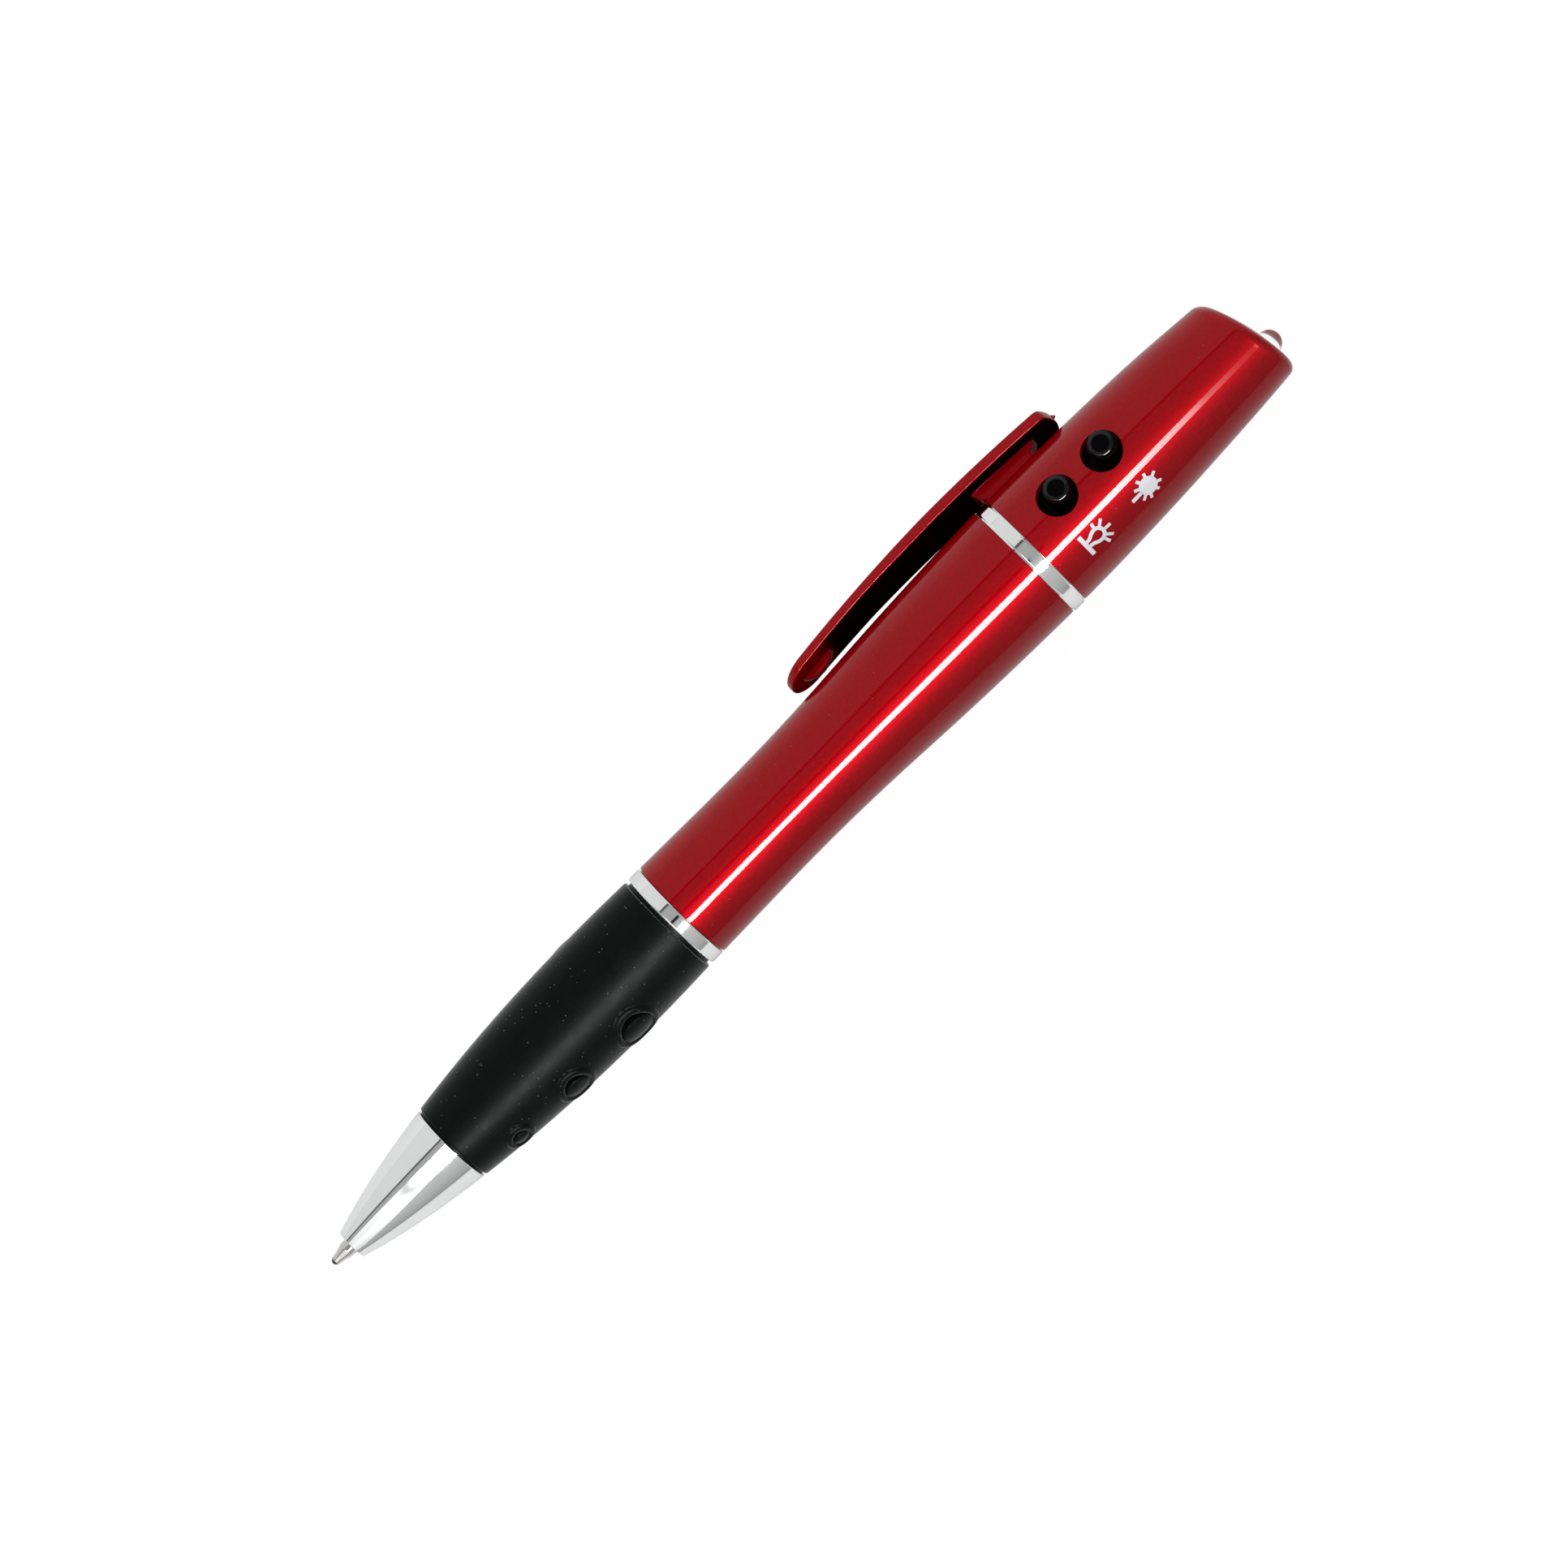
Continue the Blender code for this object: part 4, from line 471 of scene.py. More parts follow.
def threaded_sleeve(rows, steps):
    """Sleeve with a thread: the outer radius falls by a cosine of height less turn, one millimetre a turn, which
    fades at both ends; the front edge is bevelled and a plain bore closes the wall."""
    angle = np.linspace(0, 2 * math.pi, steps, endpoint=False)
    height = np.linspace(SLEEVE_FRONT, SLEEVE_REAR, rows)[:, None] + 0 * angle
    fade = np.clip((height - THREAD_START) / THREAD_FADE, 0, 1) * np.clip((THREAD_END - height) / THREAD_FADE, 0, 1)
    turns = height / MM_PER_TURN - angle / (2 * math.pi)
    radius = SLEEVE_RADIUS - fade * THREAD_DEPTH * (1 - np.cos(2 * math.pi * turns)) ** 1.4 / 2
    radius = radius - 0.2 * np.clip(1 - (height - SLEEVE_FRONT) / 0.3, 0, 1)
    outside = np.stack([radius * np.cos(angle), radius * np.sin(angle), height], -1)
    return np.concatenate([outside, turned([(SLEEVE_BORE, SLEEVE_REAR), (SLEEVE_BORE, SLEEVE_FRONT)], steps)])


piece(closed(grid_mesh("coupling_threaded", threaded_sleeve(200, 96), loop=True)), "head", brass, "brass",
      "coupling_sleeve")

# Board and switches: a green board on a moulded carrier, with two push switches under steel covers coloured
# near black, painted shade that keeps the button holes dark.
# Laser housing, lens, diode and lamp holder stand behind the slanted end; all stay as packed.
board, tree, shader = new_finish("green_board", IOR=1.5)
toned(tree, shader, 700, (0.010, 0.075, 0.028), (0.022, 0.125, 0.050), 0.28, 0.42)
grey, tree, shader = new_finish("grey_moulding", IOR=1.49)
toned(tree, shader, 700, (0.055, 0.055, 0.06), (0.09, 0.09, 0.095), 0.35, 0.5)
# Switch covers: steel coloured near black, painted shade that keeps the button holes dark.
dark_steel, tree, shader = new_finish("steel_dark_as_painted_shade", Metallic=0.6, Specular_IOR_Level=0.05)
toned(tree, shader, 700, (0.002, 0.002, 0.002), (0.004, 0.004, 0.004), 0.35, 0.5)
lens, tree, shader = new_finish("moulded_lens", IOR=1.49, Transmission_Weight=1.0)
toned(tree, shader, 200, (0.93, 0.95, 0.95), (0.98, 0.99, 0.99), 0.02, 0.05)
keep_nodes(board, "circuit_board")
keep_nodes(grey, "board_carrier")
keep_nodes(black, "light_switch_housing", "laser_switch_housing", "lamp_holder", "led_resistor", "laser_resistor")
keep_nodes(dark_steel, "light_switch_plate", "laser_switch_plate")
keep_nodes(spring_steel, "light_snap_dome", "laser_snap_dome", "laser_diode", "led_anode_lead", "led_cathode_lead")
keep_nodes(brass, "laser_housing")
keep_nodes(lens, "laser_lens")

# Buttons: the black moulded plungers of the two switches, tall enough to stand out of the head.
# Each has an eased top edge and a flange below that keeps it in its switch.
BUTTON_RADIUS, BUTTON_TOP, BUTTON_EASE = 1.68, 9.38, 0.70


def button(centre, steps=72):
    """Plunger: a (radius, height) outline turned round a line along y at the button's place on the pen. Second, the
    share of polish, which is one on the flatter part of the eased top edge."""
    edge = np.linspace(0, math.pi / 2, 13)
    below = [(0, 3.43), (2.00, 3.43), (2.05, 3.48), (2.05, 4.10), (2.00, 4.15), (1.80, 4.15), (BUTTON_RADIUS, 4.22),
             (BUTTON_RADIUS, 8.60)]
    top = [(0.92, BUTTON_TOP), (0, BUTTON_TOP)]
    rounding = np.stack([BUTTON_RADIUS - BUTTON_EASE + BUTTON_EASE * np.cos(edge),
                         BUTTON_TOP - BUTTON_EASE + BUTTON_EASE * np.sin(edge)], -1)
    spun = turned(np.concatenate([below, rounding, top]), steps)
    shine = np.clip((edge - 0.80) / 0.25, 0, 1) * np.clip((math.pi / 2 - edge) / 0.13, 0, 1)
    polish = np.concatenate([np.zeros(len(below)), shine, np.zeros(len(top))])[:, None] + np.zeros(steps)
    return np.stack([spun[..., 0], spun[..., 2], centre + spun[..., 1]], -1), polish


def with_share(mesh, label, share):
    """Mesh with a share from nought to one kept on its points, as the finish's mask of that name."""
    mesh.attributes.new(label, "FLOAT", "POINT").data.foreach_set("value", np.ravel(share))
    return mesh


button_black, tree, shader = new_finish("button_moulding", IOR=1.49, Specular_IOR_Level=0.03, Coat_IOR=1.38,
                                        Coat_Roughness=0.03)
polish = node(tree, "ShaderNodeAttribute", attribute_name="polished_edge")
tree.links.new(polish.outputs["Fac"], shader.inputs["Coat Weight"])
toned(tree, shader, 600, (0.0005, 0.0005, 0.0006), (0.0012, 0.0012, 0.0013), 0.04, 0.07)
for name, centre in (("light_button", 116.69), ("laser_button", 123.55)):
    button_points, button_polish = button(centre)
    plunger = with_share(grid_mesh(name + "_moulded", button_points), "polished_edge", button_polish)
    piece(closed(plunger), name, button_black, "black_plastic", name)

# Lamp: a three millimetre LED cast in clear resin, with its flange behind the head's end.
# Inside it a silvered cup on one leg holds the chip under a drop of yellow phosphor.
LAMP_SIDE, LAMP_RADIUS = np.array([-2.40, 0.0, 0.0]), 1.45
dome_angle = np.linspace(math.pi / 2, 0, 24)
lamp_dome = np.stack([LAMP_RADIUS * np.cos(dome_angle), 144.63 + LAMP_RADIUS * np.sin(dome_angle)], -1)
lamp_dome[0, 0] = 0
lamp_line = np.concatenate([lamp_dome, [(LAMP_RADIUS, 142.90), (1.50, 142.84), (1.84, 142.84), (1.90, 142.78),
                                        (1.90, 142.00), (1.84, 141.94), (0, 141.94)]])
resin, tree, shader = new_finish("clear_resin", IOR=1.5, Transmission_Weight=1.0)
toned(tree, shader, 350, (0.95, 0.95, 0.96), (0.99, 0.99, 0.99), 0.015, 0.05)
piece(closed(grid_mesh("lamp_resin", turned(lamp_line, 72) + LAMP_SIDE)), "head", resin, "clear_resin", "led_lamp")

silver, tree, shader = new_finish("silvered_leg", Metallic=1.0)
toned(tree, shader, 900, (0.70, 0.70, 0.71), (0.86, 0.86, 0.87), 0.15, 0.28)
cup = eased([(0.001, 142.30), (0.55, 142.30), (0.95, 143.35), (0.84, 143.35), (0.50, 142.62), (0.001, 142.62)],
            [0.0004, 0.08, 0.03, 0.03, 0.08, 0.0004])
piece(closed(grid_mesh("lamp_cup", turned(cup, 48) + LAMP_SIDE, loop=True)), "head", silver, "steel")

phosphor, tree, shader = new_finish("phosphor_drop", IOR=1.45)
toned(tree, shader, 2500, (0.62, 0.52, 0.10), (0.80, 0.70, 0.22), 0.3, 0.5)
drop_angle = np.linspace(math.pi / 2, 0, 12)
drop = np.concatenate([np.stack([0.66 * np.cos(drop_angle), 142.95 + 0.18 * np.sin(drop_angle)], -1),
                       [(0.50, 142.66), (0, 142.66)]])
drop[0, 0] = 0
piece(closed(grid_mesh("lamp_phosphor", turned(drop, 40) + LAMP_SIDE)), "head", phosphor, "natural_plastic")

# Head: the drawn and lacquered shell over board and lamps, shorter on the clip's side at its slanted end.
# It is pressed on the coupling and pierced for two buttons, the clip's foot, the lamp and the laser.
HEAD_START, HEAD_END, HEAD_WALL, HEAD_MOUTH, SIDE_COUNT = 110.50, 144.25, 1.20, 7.66, 70
END_DOME, END_CORNER, END_RIM, END_LEAN, END_SLOPE = 24.0, 1.30, 6.38, 0.085, 0.22
SLANT_START, SLANT_LENGTH, SOCKET_END, SOCKET_RADIUS = 130.25, 12.70, 113.70, 6.70


def head_outline(inward, side_count, corner_count, dome_count):
    """Side as a cubic of radius, a round corner and a domed end on the axis, all moved inwards from the outside."""
    dome, corner, rim, top = END_DOME - inward, END_CORNER - inward / 2, END_RIM - inward, HEAD_END - inward
    lean = math.asin((rim - corner) / (dome - corner))
    middle = top - dome + (dome - corner) * math.cos(lean)
    side = cubic((HEAD_START, HEAD_MOUTH - inward, 0.0), (middle, rim, -END_LEAN), side_count)
    turn = np.linspace(END_LEAN, math.pi / 2 - lean, corner_count)
    turn[0] = 0.04
    bend = np.stack([rim - corner * (1 - np.cos(turn)), middle + corner * np.sin(turn)], -1)
    tip = np.linspace(lean, 0, dome_count + 1)[1:]
    cap = np.stack([dome * np.sin(tip), top - dome * (1 - np.cos(tip))], -1)
    return np.concatenate([side, bend, cap])


def slanted(points):
    """Slides points along the pen by the slope times their distance to the clip's side, eased in from SLANT_START."""
    share = np.clip((points[..., 2] - SLANT_START) / SLANT_LENGTH, 0, 1)
    slide = END_SLOPE * points[..., 0] * share ** 2 * (3 - 2 * share)
    return points - slide[..., None] * np.array([0.0, 0.0, 1.0])


def pierced(mesh, *tools):
    """Mesh with the solid of each tool mesh taken away."""
    body = bpy.data.objects.new(mesh.name, mesh)
    bpy.context.scene.collection.objects.link(body)
    helpers = []
    for tool in tools:
        helper = bpy.data.objects.new(tool.name, tool)
        bpy.context.scene.collection.objects.link(helper)
        helpers.append(helper)
        step = body.modifiers.new(tool.name, "BOOLEAN")
        step.operation, step.solver, step.object = "DIFFERENCE", "EXACT", helper
    bpy.context.view_layer.update()
    result = bpy.data.meshes.new_from_object(body.evaluated_get(bpy.context.evaluated_depsgraph_get()))
    result.name = mesh.name + "_pierced"
    for helper in helpers + [body]:
        bpy.data.objects.remove(helper)
    return result


def hole_tool(name, radius, low, high, place, across):
    """Rod to pierce with: along the buttons' direction at a height if across, else along the pen at a place on x."""
    rod = turned([(0, low), (radius, low), (radius, high), (0, high)], 72)
    if across:
        rod = np.stack([rod[..., 0], rod[..., 2], place + rod[..., 1]], -1)
    else:
        rod = rod + np.array([place, 0.0, 0.0])
    return closed(grid_mesh(name, rod))


head_outside = head_outline(0.0, SIDE_COUNT, 14, 16)
head_inside = head_outline(HEAD_WALL, 40, 8, 10)
head_inside = head_inside[head_inside[:, 1] > SOCKET_END][::-1]
head_mouth = np.array([(head_inside[-1, 0], SOCKET_END), (SOCKET_RADIUS, SOCKET_END), (SOCKET_RADIUS, 110.55),
                       (6.75, HEAD_START), (7.58, HEAD_START), (7.63, 110.515)])
shell = slanted(turned(np.concatenate([head_outside[1:], head_inside, head_mouth]), 160))
NOTCH_X, NOTCH_Y, NOTCH_Z = (5.86, 9.46), (-1.6, 1.6), (109.5, 117.95)
notch = on_pen(np.array([(x, y, z) for x in NOTCH_X for y in NOTCH_Y for z in NOTCH_Z]))
notch_tool = bpy.data.meshes.new("clip_notch")
notch_tool.from_pydata(notch.tolist(), [], [(0, 1, 3, 2), (4, 6, 7, 5), (0, 4, 5, 1), (2, 3, 7, 6), (0, 2, 6, 4),
                                            (1, 5, 7, 3)])
head = pierced(closed(grid_mesh("head_lacquered", shell, loop=True)),
               hole_tool("light_hole", 2.40, 5.26, 9.0, 116.24, True),
               hole_tool("laser_hole", 2.40, 5.26, 9.0, 123.10, True),
               hole_tool("lamp_hole", 1.55, 142.26, 147.0, LAMP_SIDE[0], False),
               hole_tool("beam_hole", 1.20, 141.20, 147.0, -LAMP_SIDE[0], False), closed(notch_tool))
piece(smoothed(head), "head", lacquer, "red_lacquer", "head_shell")

# Clip: one moulding in red, a bowed plate with a round tip and a slightly bowed upper end.
# A tapered foot goes through the head's notch, and a rib under the tip presses on the barrel.
CLIP_ROUND, CLIP_ROUND_RADIUS, CLIP_CROWN, CLIP_BOW, CLIP_CORNER, CLIP_END = 83.9, 3.3, 104.0, 416.0, 120.75, 122.25
CLIP_WIDER, CORNER_RADIUS, CORNER_MIDDLE, END_HALF, END_BOW = 0.75, 0.90, 3.15, 3.383, 0.63
CLIP_DEPTH, CLIP_EASE, CLIP_THICKER, EDGE_DULL_COAT, UNDER_DULL_COAT = 1.10, 0.24, 0.20, 0.1, 0.20


def clip_face(z):
    """Distance of the outer face from the pen's axis: a shallow parabola with its top at CLIP_CROWN."""
    return 10.80 - (z - CLIP_CROWN) ** 2 / CLIP_BOW


def clip_plate():
    """Plan outline (half circle, sides widening to CLIP_CROWN, round corners, bowed end) mirrored about the middle
    line; a rounded edge section is carried round it, and both faces close on the middle line. Second, the share of
    painted shade and dulled coat: one on the inner face behind the rib, where the shade painted on it is darkest; the
    threshold share on the rest of the inner face, which loses coat and metal; a small share on its edge, thinning the
    coat."""
    tip = np.linspace(0, math.pi / 2, 26)
    corner = np.radians(np.linspace(0, 75, 10))
    end = np.linspace(END_HALF, 0, 12)[1:]
    sides = np.linspace(CLIP_ROUND, CLIP_CORNER, 80)[1:-1]
    wider = CLIP_WIDER * np.clip((sides - CLIP_ROUND) / (CLIP_CROWN - CLIP_ROUND), 0, 1)
    across = np.concatenate([CLIP_ROUND_RADIUS * np.sin(tip), CLIP_ROUND_RADIUS + wider,
                             CORNER_MIDDLE + CORNER_RADIUS * np.cos(corner), end])
    along = np.concatenate([CLIP_ROUND - CLIP_ROUND_RADIUS * np.cos(tip), sides,
                            CLIP_CORNER + CORNER_RADIUS * np.sin(corner), CLIP_END - END_BOW * (end / END_HALF) ** 2])
    across = np.concatenate([across, -across[-2:0:-1]])
    along = np.concatenate([along, along[-2:0:-1]])
    heading = np.stack([np.roll(across, -1) - np.roll(across, 1), np.roll(along, -1) - np.roll(along, 1)], -1)
    heading /= np.linalg.norm(heading, axis=1, keepdims=True)
    edge = np.linspace(0, math.pi / 2, 7)
    rise, fall = CLIP_EASE * (1 - np.cos(edge)), CLIP_EASE * (1 - np.sin(edge))
    inset = np.concatenate([[0.6], fall, rise, [0.6]])[:, None]
    depth = np.concatenate([[0.0], rise, CLIP_DEPTH - fall, [CLIP_DEPTH]])[:, None]
    y = across - heading[:, 1] * inset
    z = along + heading[:, 0] * inset
    y, z, depth = (np.concatenate([rows[:1], rows, rows[-1:]]) for rows in (y, z, depth))
    y[[0, -1]] = 0
    thicker = CLIP_THICKER * np.clip((z - 93) / 9, 0, 1) * np.clip(depth / 0.5 - 1, 0, 1)
    inner = np.clip((depth - 1.03) / 0.06, 0, 1)
    # Painted shade on the inner face, rising from the tip past the rib towards the foot.
    shade_and_dull = inner * (PAINTED_SHADE_FROM + (1 - PAINTED_SHADE_FROM) * np.clip((z - 85.6) / 1.9, 0, 1))
    shade_and_dull = np.maximum(shade_and_dull, EDGE_DULL_COAT * np.clip((depth - 0.80) / 0.12, 0, 1))
    return np.stack([clip_face(z) - depth - thicker, y, z], -1), shade_and_dull


def rounded_section(half_y, half_z, power, steps):
    """Ring of a squared-off circle: sine and cosine raised to a small power keep the sides flat and corners round."""
    turn = np.linspace(0, 2 * math.pi, steps, endpoint=False)
    wide = np.sign(np.sin(turn)) * np.abs(np.sin(turn)) ** power
    long = np.sign(np.cos(turn)) * np.abs(np.cos(turn)) ** power
    return half_y * wide, half_z * long


FOOT_INNER, FOOT_OUTER, FOOT_FREE, FOOT_FREE_END = 6.90, 9.75, 7.98, 9.50
FOOT_LOW, FOOT_NECK_LOW, FOOT_HIGH, FOOT_HALF, FOOT_FLARE = 110.35, 110.70, 117.75, 1.40, 0.22


def clip_foot(rows):
    """Sections from the neck in the head's notch up into the plate; above the head both ends slope outwards."""
    x = np.linspace(FOOT_INNER, FOOT_OUTER, rows)[:, None]
    spread = np.clip((x - FOOT_FREE) / (FOOT_FREE_END - FOOT_FREE), 0, 1)
    low = np.where(x > FOOT_FREE, FOOT_LOW - 0.65 * spread, FOOT_NECK_LOW)
    high = FOOT_HIGH + 2.10 * spread ** 1.15
    flare = FOOT_FLARE * np.clip((spread - 0.8) / 0.2, 0, 1) ** 2
    wide, long = rounded_section(FOOT_HALF + flare, (high - low) / 2, 0.14, 72)
    return np.stack([x + 0 * wide, wide, (low + high) / 2 + long], -1)


RIB_PLACE, RIB_LENGTH, RIB_DEPTH, RIB_HALF, RIB_EASE = 84.5, 4.8, 1.05, 0.475, 0.14


def clip_rib(steps):
    """Circle segment of RIB_LENGTH and RIB_DEPTH below the plate, carried across with eased sides."""
    edge = np.linspace(0, math.pi / 2, 6)
    ease = RIB_EASE * (1 - np.cos(edge))
    across = np.concatenate([ease - RIB_HALF, RIB_HALF - ease[::-1]])
    inset = RIB_EASE * (1 - np.sin(edge))
    inset = np.concatenate([inset, inset[::-1]])[:, None]
    radius = RIB_LENGTH ** 2 / (8 * RIB_DEPTH) + RIB_DEPTH / 2
    reach = math.asin(RIB_LENGTH / 2 / radius)
    sweep = np.linspace(-reach, reach, steps)
    under = clip_face(RIB_PLACE) - CLIP_DEPTH
    x = under - RIB_DEPTH + radius - (radius - inset) * np.cos(sweep)
    z = RIB_PLACE + (radius - inset) * np.sin(sweep)
    top = np.full_like(x[:, :1], under + 0.50)
    x = np.concatenate([top, x, top], 1)
    z = np.concatenate([z[:, :1], z, z[:, -1:]], 1)
    return np.stack([x, across[:, None] + 0 * x, z], -1)


def clip_barb():
    """Barb under the head's wall: sections from the neck down, wider below the wall than in the notch."""
    level = np.array([7.0, 5.76, 5.71, 5.60, 4.72, 4.62])[:, None]
    half = np.array([1.38, 1.38, 1.95, 2.10, 2.10, 1.95])[:, None]
    wide, long = rounded_section(half, 1.80, 0.2, 48)
    return np.stack([level + 0 * wide, wide, 115.75 + long + 0 * wide], -1)


def gate_mark():
    """Torn stub where the moulding's feed was broken off: a small cone off the upper end that leans to one side."""
    turn = np.linspace(0, 2 * math.pi, 24, endpoint=False)
    rise = np.array([-0.25, 0.0, 0.15, 0.30, 0.42])[:, None]
    size = np.array([0.36, 0.34, 0.24, 0.12, 0.015])[:, None]
    lean = -0.9 * np.clip(rise, 0, 1)
    x = clip_face(CLIP_END) - 0.55 + size * np.cos(turn)
    return np.stack([x, 0.35 + lean + size * np.sin(turn), CLIP_END + rise + 0 * turn], -1)


clip_points, clip_shade_and_dull = clip_plate()
# Clip finish: its attribute paints shade on the plate's inner face and dulls the coat on edges, foot, rib and barb.
clip_finish = lacquered("clip_lacquer", "painted_shade_and_dull_coat")
plate = with_share(grid_mesh("clip_plate", clip_points), "painted_shade_and_dull_coat", clip_shade_and_dull)
piece(closed(plate), "clip", clip_finish, "red_lacquer", "clip")
for name, points in (("clip_foot", clip_foot(24)), ("clip_rib", clip_rib(48)), ("clip_barb", clip_barb())):
    thin = with_share(grid_mesh(name, points, caps=True), "painted_shade_and_dull_coat", np.full(points.shape[:2], UNDER_DULL_COAT))
    piece(closed(thin), "clip", clip_finish, "red_lacquer")
piece(closed(grid_mesh("clip_gate_mark", gate_mark(), caps=True)), "clip", lacquer, "red_lacquer")

# Signs: a bulb beside the light's button and a burst beside the laser's, pad printed in white ink.
# The ink is a film a few hundredths of a millimetre thick that follows the head's curve.
head_line = head_outside[:SIDE_COUNT]
FILM_SINK, FILM_THICKNESS = 0.02, 0.045


def printed(name, flat, turn, height):
    """Ink film: flat sign points (along the pen, round the pen, film side) are laid on the head at a turn and a
    height, at the head's radius there plus the film's thickness on its outer side."""
    z = height + flat[..., 0]
    radius = np.interp(z, head_line[:, 1], head_line[:, 0])
    angle = math.radians(turn) + flat[..., 1] / radius
    lift = radius - FILM_SINK + FILM_THICKNESS * flat[..., 2]
    return closed(grid_mesh(name, np.stack([lift * np.cos(angle), lift * np.sin(angle), z], -1), caps=True))


def stroke(path, half):
    """Band of ink along a path: at each point a flat ring goes across by the half width, above and below."""
    path = np.asarray(path, float)
    ahead = np.gradient(path, axis=0)
    ahead /= np.linalg.norm(ahead, axis=1, keepdims=True)
    left = np.stack([-ahead[:, 1], ahead[:, 0]], -1)
    side = np.array([-1.0, -0.5, 0, 0.5, 1.0, 1.0, 0.5, 0, -0.5, -1.0])
    film = np.array([1.0, 1, 1, 1, 1, 0, 0, 0, 0, 0])
    flat = path[:, None, :] + left[:, None, :] * (half * side)[None, :, None]
    return np.concatenate([flat, np.broadcast_to(film[None, :, None], flat.shape[:2] + (1,))], -1)


def ray(centre, angle, near, far, half):
    """Straight stroke away from a centre at an angle, from a near to a far distance."""
    reach = np.linspace(near, far, 9)[:, None]
    turn = math.radians(angle)
    return stroke(np.array(centre) + reach * np.array([math.cos(turn), math.sin(turn)]), half)


white_ink, tree, shader = new_finish("white_ink", IOR=1.45)
toned(tree, shader, 1500, (0.88, 0.87, 0.93), (0.95, 0.94, 1.00), 0.35, 0.5)

half_bulb = np.array([(0.22, 0.335), (0.55, 0.345), (0.85, 0.43), (1.15, 0.62), (1.50, 0.79), (1.84, 0.84),
                      (2.20, 0.76), (2.47, 0.55), (2.62, 0.28), (2.66, 0.0)])
bulb = np.concatenate([half_bulb, half_bulb[-2::-1] * (1, -1)])
walk = np.concatenate([[0], np.cumsum(np.linalg.norm(np.diff(bulb, axis=0), axis=1))])
even = np.linspace(0, walk[-1], 90)
bulb = averaged(np.stack([np.interp(even, walk, bulb[:, 0]), np.interp(even, walk, bulb[:, 1])], -1), 4)
bulb_sign = [stroke(np.stack([np.zeros(30), np.linspace(-1.55, 1.55, 30)], -1), 0.275), stroke(bulb, 0.235)]
RAY_START, RAY_HALF = 1.05, 0.19
bulb_sign += [ray((1.84, 0), angle, 0.92, far, RAY_HALF)
              for angle, far in ((80, 1.66), (40, 1.92), (-4, 1.90), (-47, 2.02), (-75, 1.98))]
disc_turn = np.linspace(0, 2 * math.pi, 64, endpoint=False)
disc_reach = np.array([0.02, 0.4, 0.8, 1.18, 1.18, 0.8, 0.4, 0.02])[:, None]
disc_film = np.array([1.0, 1, 1, 1, 0, 0, 0, 0])[:, None]
disc = np.stack([disc_reach * np.cos(disc_turn), disc_reach * np.sin(disc_turn), disc_film + 0 * disc_turn], -1)
burst_sign = [disc, ray((0, 0), 180, RAY_START, 2.60, 0.25)]
burst_sign += [ray((0, 0), angle, RAY_START, far, RAY_HALF)
               for angle, far in ((27, 1.82), (71, 1.66), (116, 1.70), (153, 1.82), (-24, 1.72), (-64, 1.60),
                                  (-112, 1.74), (-146, 1.86))]
for sign, strokes, turn, height, size in (("bulb_sign", bulb_sign, 138.5, 114.62, (0.95, -0.925, 1.0)),
                                          ("burst_sign", burst_sign, 140.6, 124.02, (0.96, -0.92, 1.0))):
    for count, flat in enumerate(strokes):
        piece(printed(f"{sign}_{count}", flat * np.array(size), turn, height), "head", white_ink, "natural_plastic")

# Table and light: a white table under a long strip lamp over the near side, a standing panel in front of the tip and
# a broad soft panel over the far side. The first two show only in polished pieces, the third only lights matt ones.
# The room is graded from side to side, its levels bend in front of the nose, and a dark bar hangs over the nose.
TABLE_HALF, TABLE_SEEN, TABLE_MIRRORED = 3, 0.94, 0.08
table_mesh = bpy.data.meshes.new("table")
corners = [(TABLE_HALF * x, TABLE_HALF * y, 0) for x, y in ((-1, -1), (1, -1), (1, 1), (-1, 1))]
table_mesh.from_pydata(corners, [], [(0, 1, 2, 3)])
table = bpy.data.objects.new("table", table_mesh)
bpy.context.scene.collection.objects.link(table)
table_top, tree, shader = new_finish("white_table")
toned(tree, shader, 3, (0.80, 0.80, 0.80), (0.82, 0.82, 0.82), 0.8, 0.9)
shine = node(tree, "ShaderNodeEmission", Strength=1.03)
path_kind = node(tree, "ShaderNodeLightPath")
seen = maths(tree, "MAXIMUM", path_kind.outputs["Is Camera Ray"], path_kind.outputs["Is Transmission Ray"])
mirrored = maths(tree, "MULTIPLY", path_kind.outputs["Is Glossy Ray"], TABLE_MIRRORED)
part_seen = maths(tree, "MAXIMUM", maths(tree, "MULTIPLY", seen, TABLE_SEEN), mirrored)
blend = node(tree, "ShaderNodeMixShader", [(part_seen, 0), (shader.outputs[0], 1), (shine.outputs[0], 2)])
tree.links.new(blend.outputs[0], tree.nodes["Material Output"].inputs["Surface"])
table_mesh.materials.append(table_top)


def graded(ramp, stops):
    """Sets a colour ramp to a row of (position, grey level) stops, of which the first and last are its two ends."""
    for position, _ in stops[1:-1]:
        ramp.elements.new(position)
    for element, (position, level) in zip(ramp.elements, stops):
        element.position, element.color = position, (level, level, level, 1)


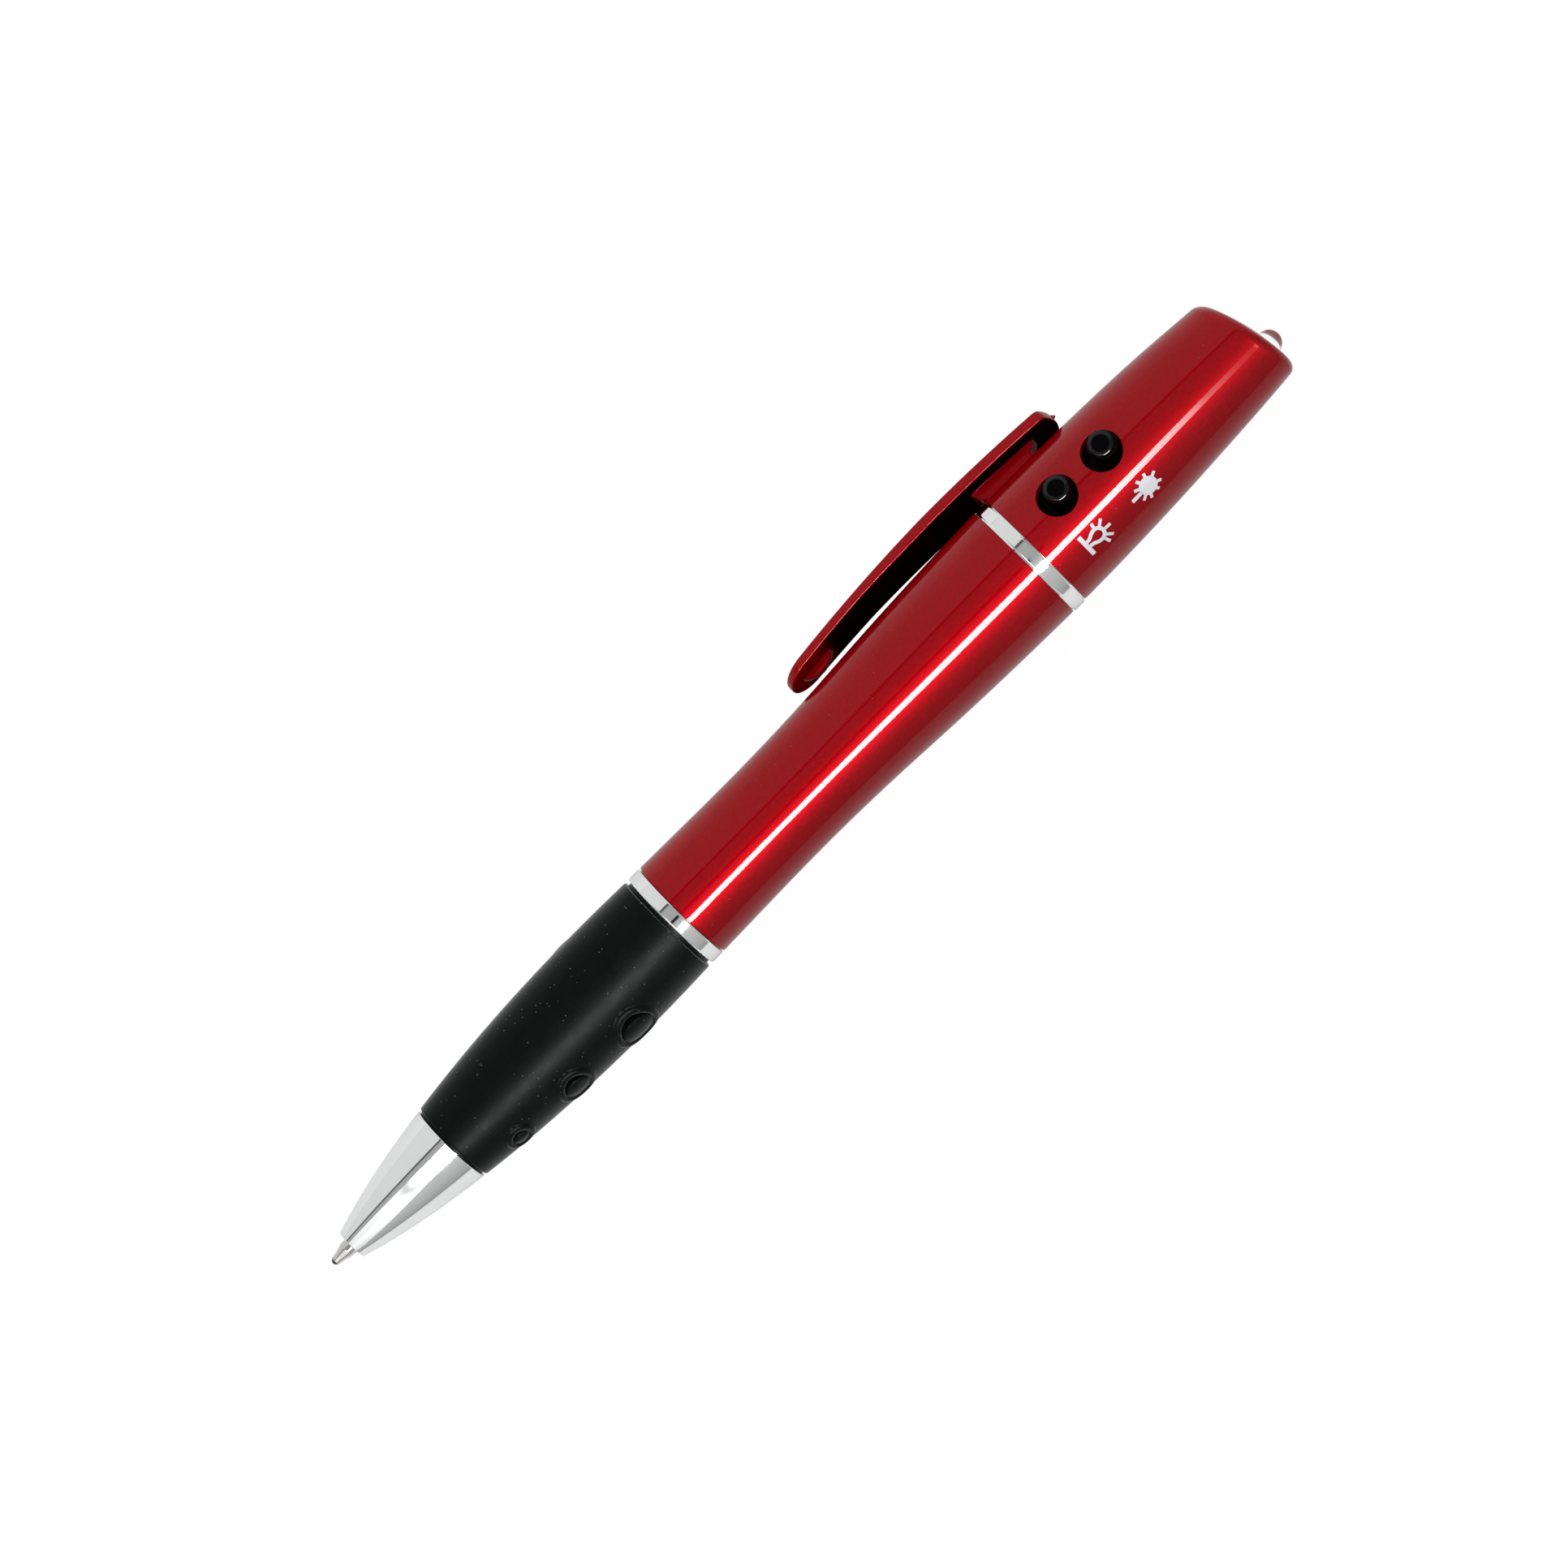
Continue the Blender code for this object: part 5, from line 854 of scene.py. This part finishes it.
WIDEST_LEAN, LOWEST, BAR_LEVEL = 1.6, 0.2, 0.01
BAR_LEAN, BAR_HALF, BAR_AHEAD, BAR_HALF_LENGTH = -0.071, 0.050, -0.10, 0.08
ROOM_LEVELS = [(-90, 0.30), (-75, 0.40), (-52, 0.50), (-38, 0.54), (-16, 0.50), (-11, 0.42), (-3, 0.36), (18, 0.40),
               (24, 0.36), (24.6, 0.09), (28.4, 0.09), (29.5, 0.70), (90, 0.72)]
world = bpy.data.worlds.new("studio")
bpy.context.scene.world = world
world.use_nodes = True
tree = world.node_tree
where = node(tree, "ShaderNodeTexCoord")
parts = node(tree, "ShaderNodeSeparateXYZ", [(where.outputs["Generated"], "Vector")])
lean = maths(tree, "ARCTAN2", parts.outputs["Y"], parts.outputs["Z"])
ahead = maths(tree, "DIVIDE", parts.outputs["X"], maths(tree, "MAXIMUM", parts.outputs["Z"], LOWEST))
bend = node(tree, "ShaderNodeMapRange", [(ahead, "Value")], From_Min=-0.42, From_Max=-1.42, To_Max=0.477)
bent = maths(tree, "MAXIMUM", maths(tree, "SUBTRACT", lean, bend.outputs["Result"]), 0.0)
spread = node(tree, "ShaderNodeMapRange", [(maths(tree, "MINIMUM", bent, lean), "Value")],
              From_Min=-WIDEST_LEAN, From_Max=WIDEST_LEAN)
levels = node(tree, "ShaderNodeValToRGB", [(spread.outputs["Result"], "Fac")])
graded(levels.color_ramp, [(0.0, ROOM_LEVELS[0][1])]
       + [((math.radians(degrees) / WIDEST_LEAN + 1) / 2, level) for degrees, level in ROOM_LEVELS]
       + [(1.0, ROOM_LEVELS[-1][1])])
bar = maths(tree, "MULTIPLY", maths(tree, "COMPARE", lean, BAR_LEAN, BAR_HALF),
            maths(tree, "COMPARE", ahead, BAR_AHEAD, BAR_HALF_LENGTH))
barred = colour_mix(tree, bar, levels.outputs["Color"], (BAR_LEVEL, BAR_LEVEL, BAR_LEVEL, 1))
tree.links.new(barred, tree.nodes["Background"].inputs["Color"])


def lamp(name, size, radiance, place, lean, turn=0):
    """Rectangular area lamp of a size and radiance, at a place, leant about X and then turned about Y."""
    light = bpy.data.lights.new(name, "AREA")
    light.shape, light.size, light.size_y = "RECTANGLE", *size
    light.energy = radiance * math.pi * size[0] * size[1]
    made = bpy.data.objects.new(name, light)
    made.location, made.rotation_euler = place, (math.radians(lean), math.radians(turn), 0)
    bpy.context.scene.collection.objects.link(made)
    return made


def shaded_lamp(made, stops):
    """Lets a lamp's strength follow a row of (share of its length, strength) stops, and keeps it off matt pieces."""
    made.data.use_nodes = True
    tree = made.data.node_tree
    across = node(tree, "ShaderNodeNewGeometry")
    ends = node(tree, "ShaderNodeSeparateXYZ", [(across.outputs["Parametric"], "Vector")])
    run = node(tree, "ShaderNodeValToRGB", [(ends.outputs["X"], "Fac")])
    graded(run.color_ramp, stops)
    tree.links.new(run.outputs["Color"], tree.nodes["Emission"].inputs["Strength"])
    made.visible_diffuse = False


strip_lamp = lamp("strip_lamp", (0.58, 0.12), 54.0, (-0.06, -0.290, 0.600), 26)
shaded_lamp(strip_lamp, [(0.0, 1.0), (0.76, 1.0), (0.84, 0.50), (0.875, 0.12), (0.92, 0.03), (1.0, 0.0)])
front_panel = lamp("front_panel", (0.40, 0.32), 3.0, (-0.25, -0.075, 0.320), 0, -90)
shaded_lamp(front_panel, [(0.0, 0.10), (0.11, 0.11), (0.25, 0.19), (0.43, 0.24), (0.56, 0.24), (0.60, 0.08),
                          (0.645, 0.10), (0.66, 0.80), (1.0, 0.80)])
soft_lamp = lamp("soft_lamp", (0.6, 0.6), 3.4, (0, 0.29, 0.87), -18.4)
soft_lamp.visible_glossy = False

# Camera: a long lens over the pen, looking down, with no blur in depth.
# The pen lies across the picture from lower left to upper right.
camera = bpy.data.cameras.new("camera")
camera.sensor_width, camera.lens = 36.0, 164.66
eye, target = Vector((0.012, -0.00015, 0.797)), Vector((-0.0003, -0.00015, 0.0072))
upward = Vector((0.7124, 0.7016, 0))
forward = (target - eye).normalized()
right = forward.cross(upward).normalized()
view = bpy.data.objects.new("camera", camera)
view.matrix_world = Matrix.Translation(eye) @ Matrix((right, right.cross(forward), -forward)).transposed().to_4x4()
bpy.context.scene.collection.objects.link(view)
bpy.context.scene.camera = view
bpy.context.scene.view_settings.view_transform = "Standard"

bpy.context.view_layer.update()
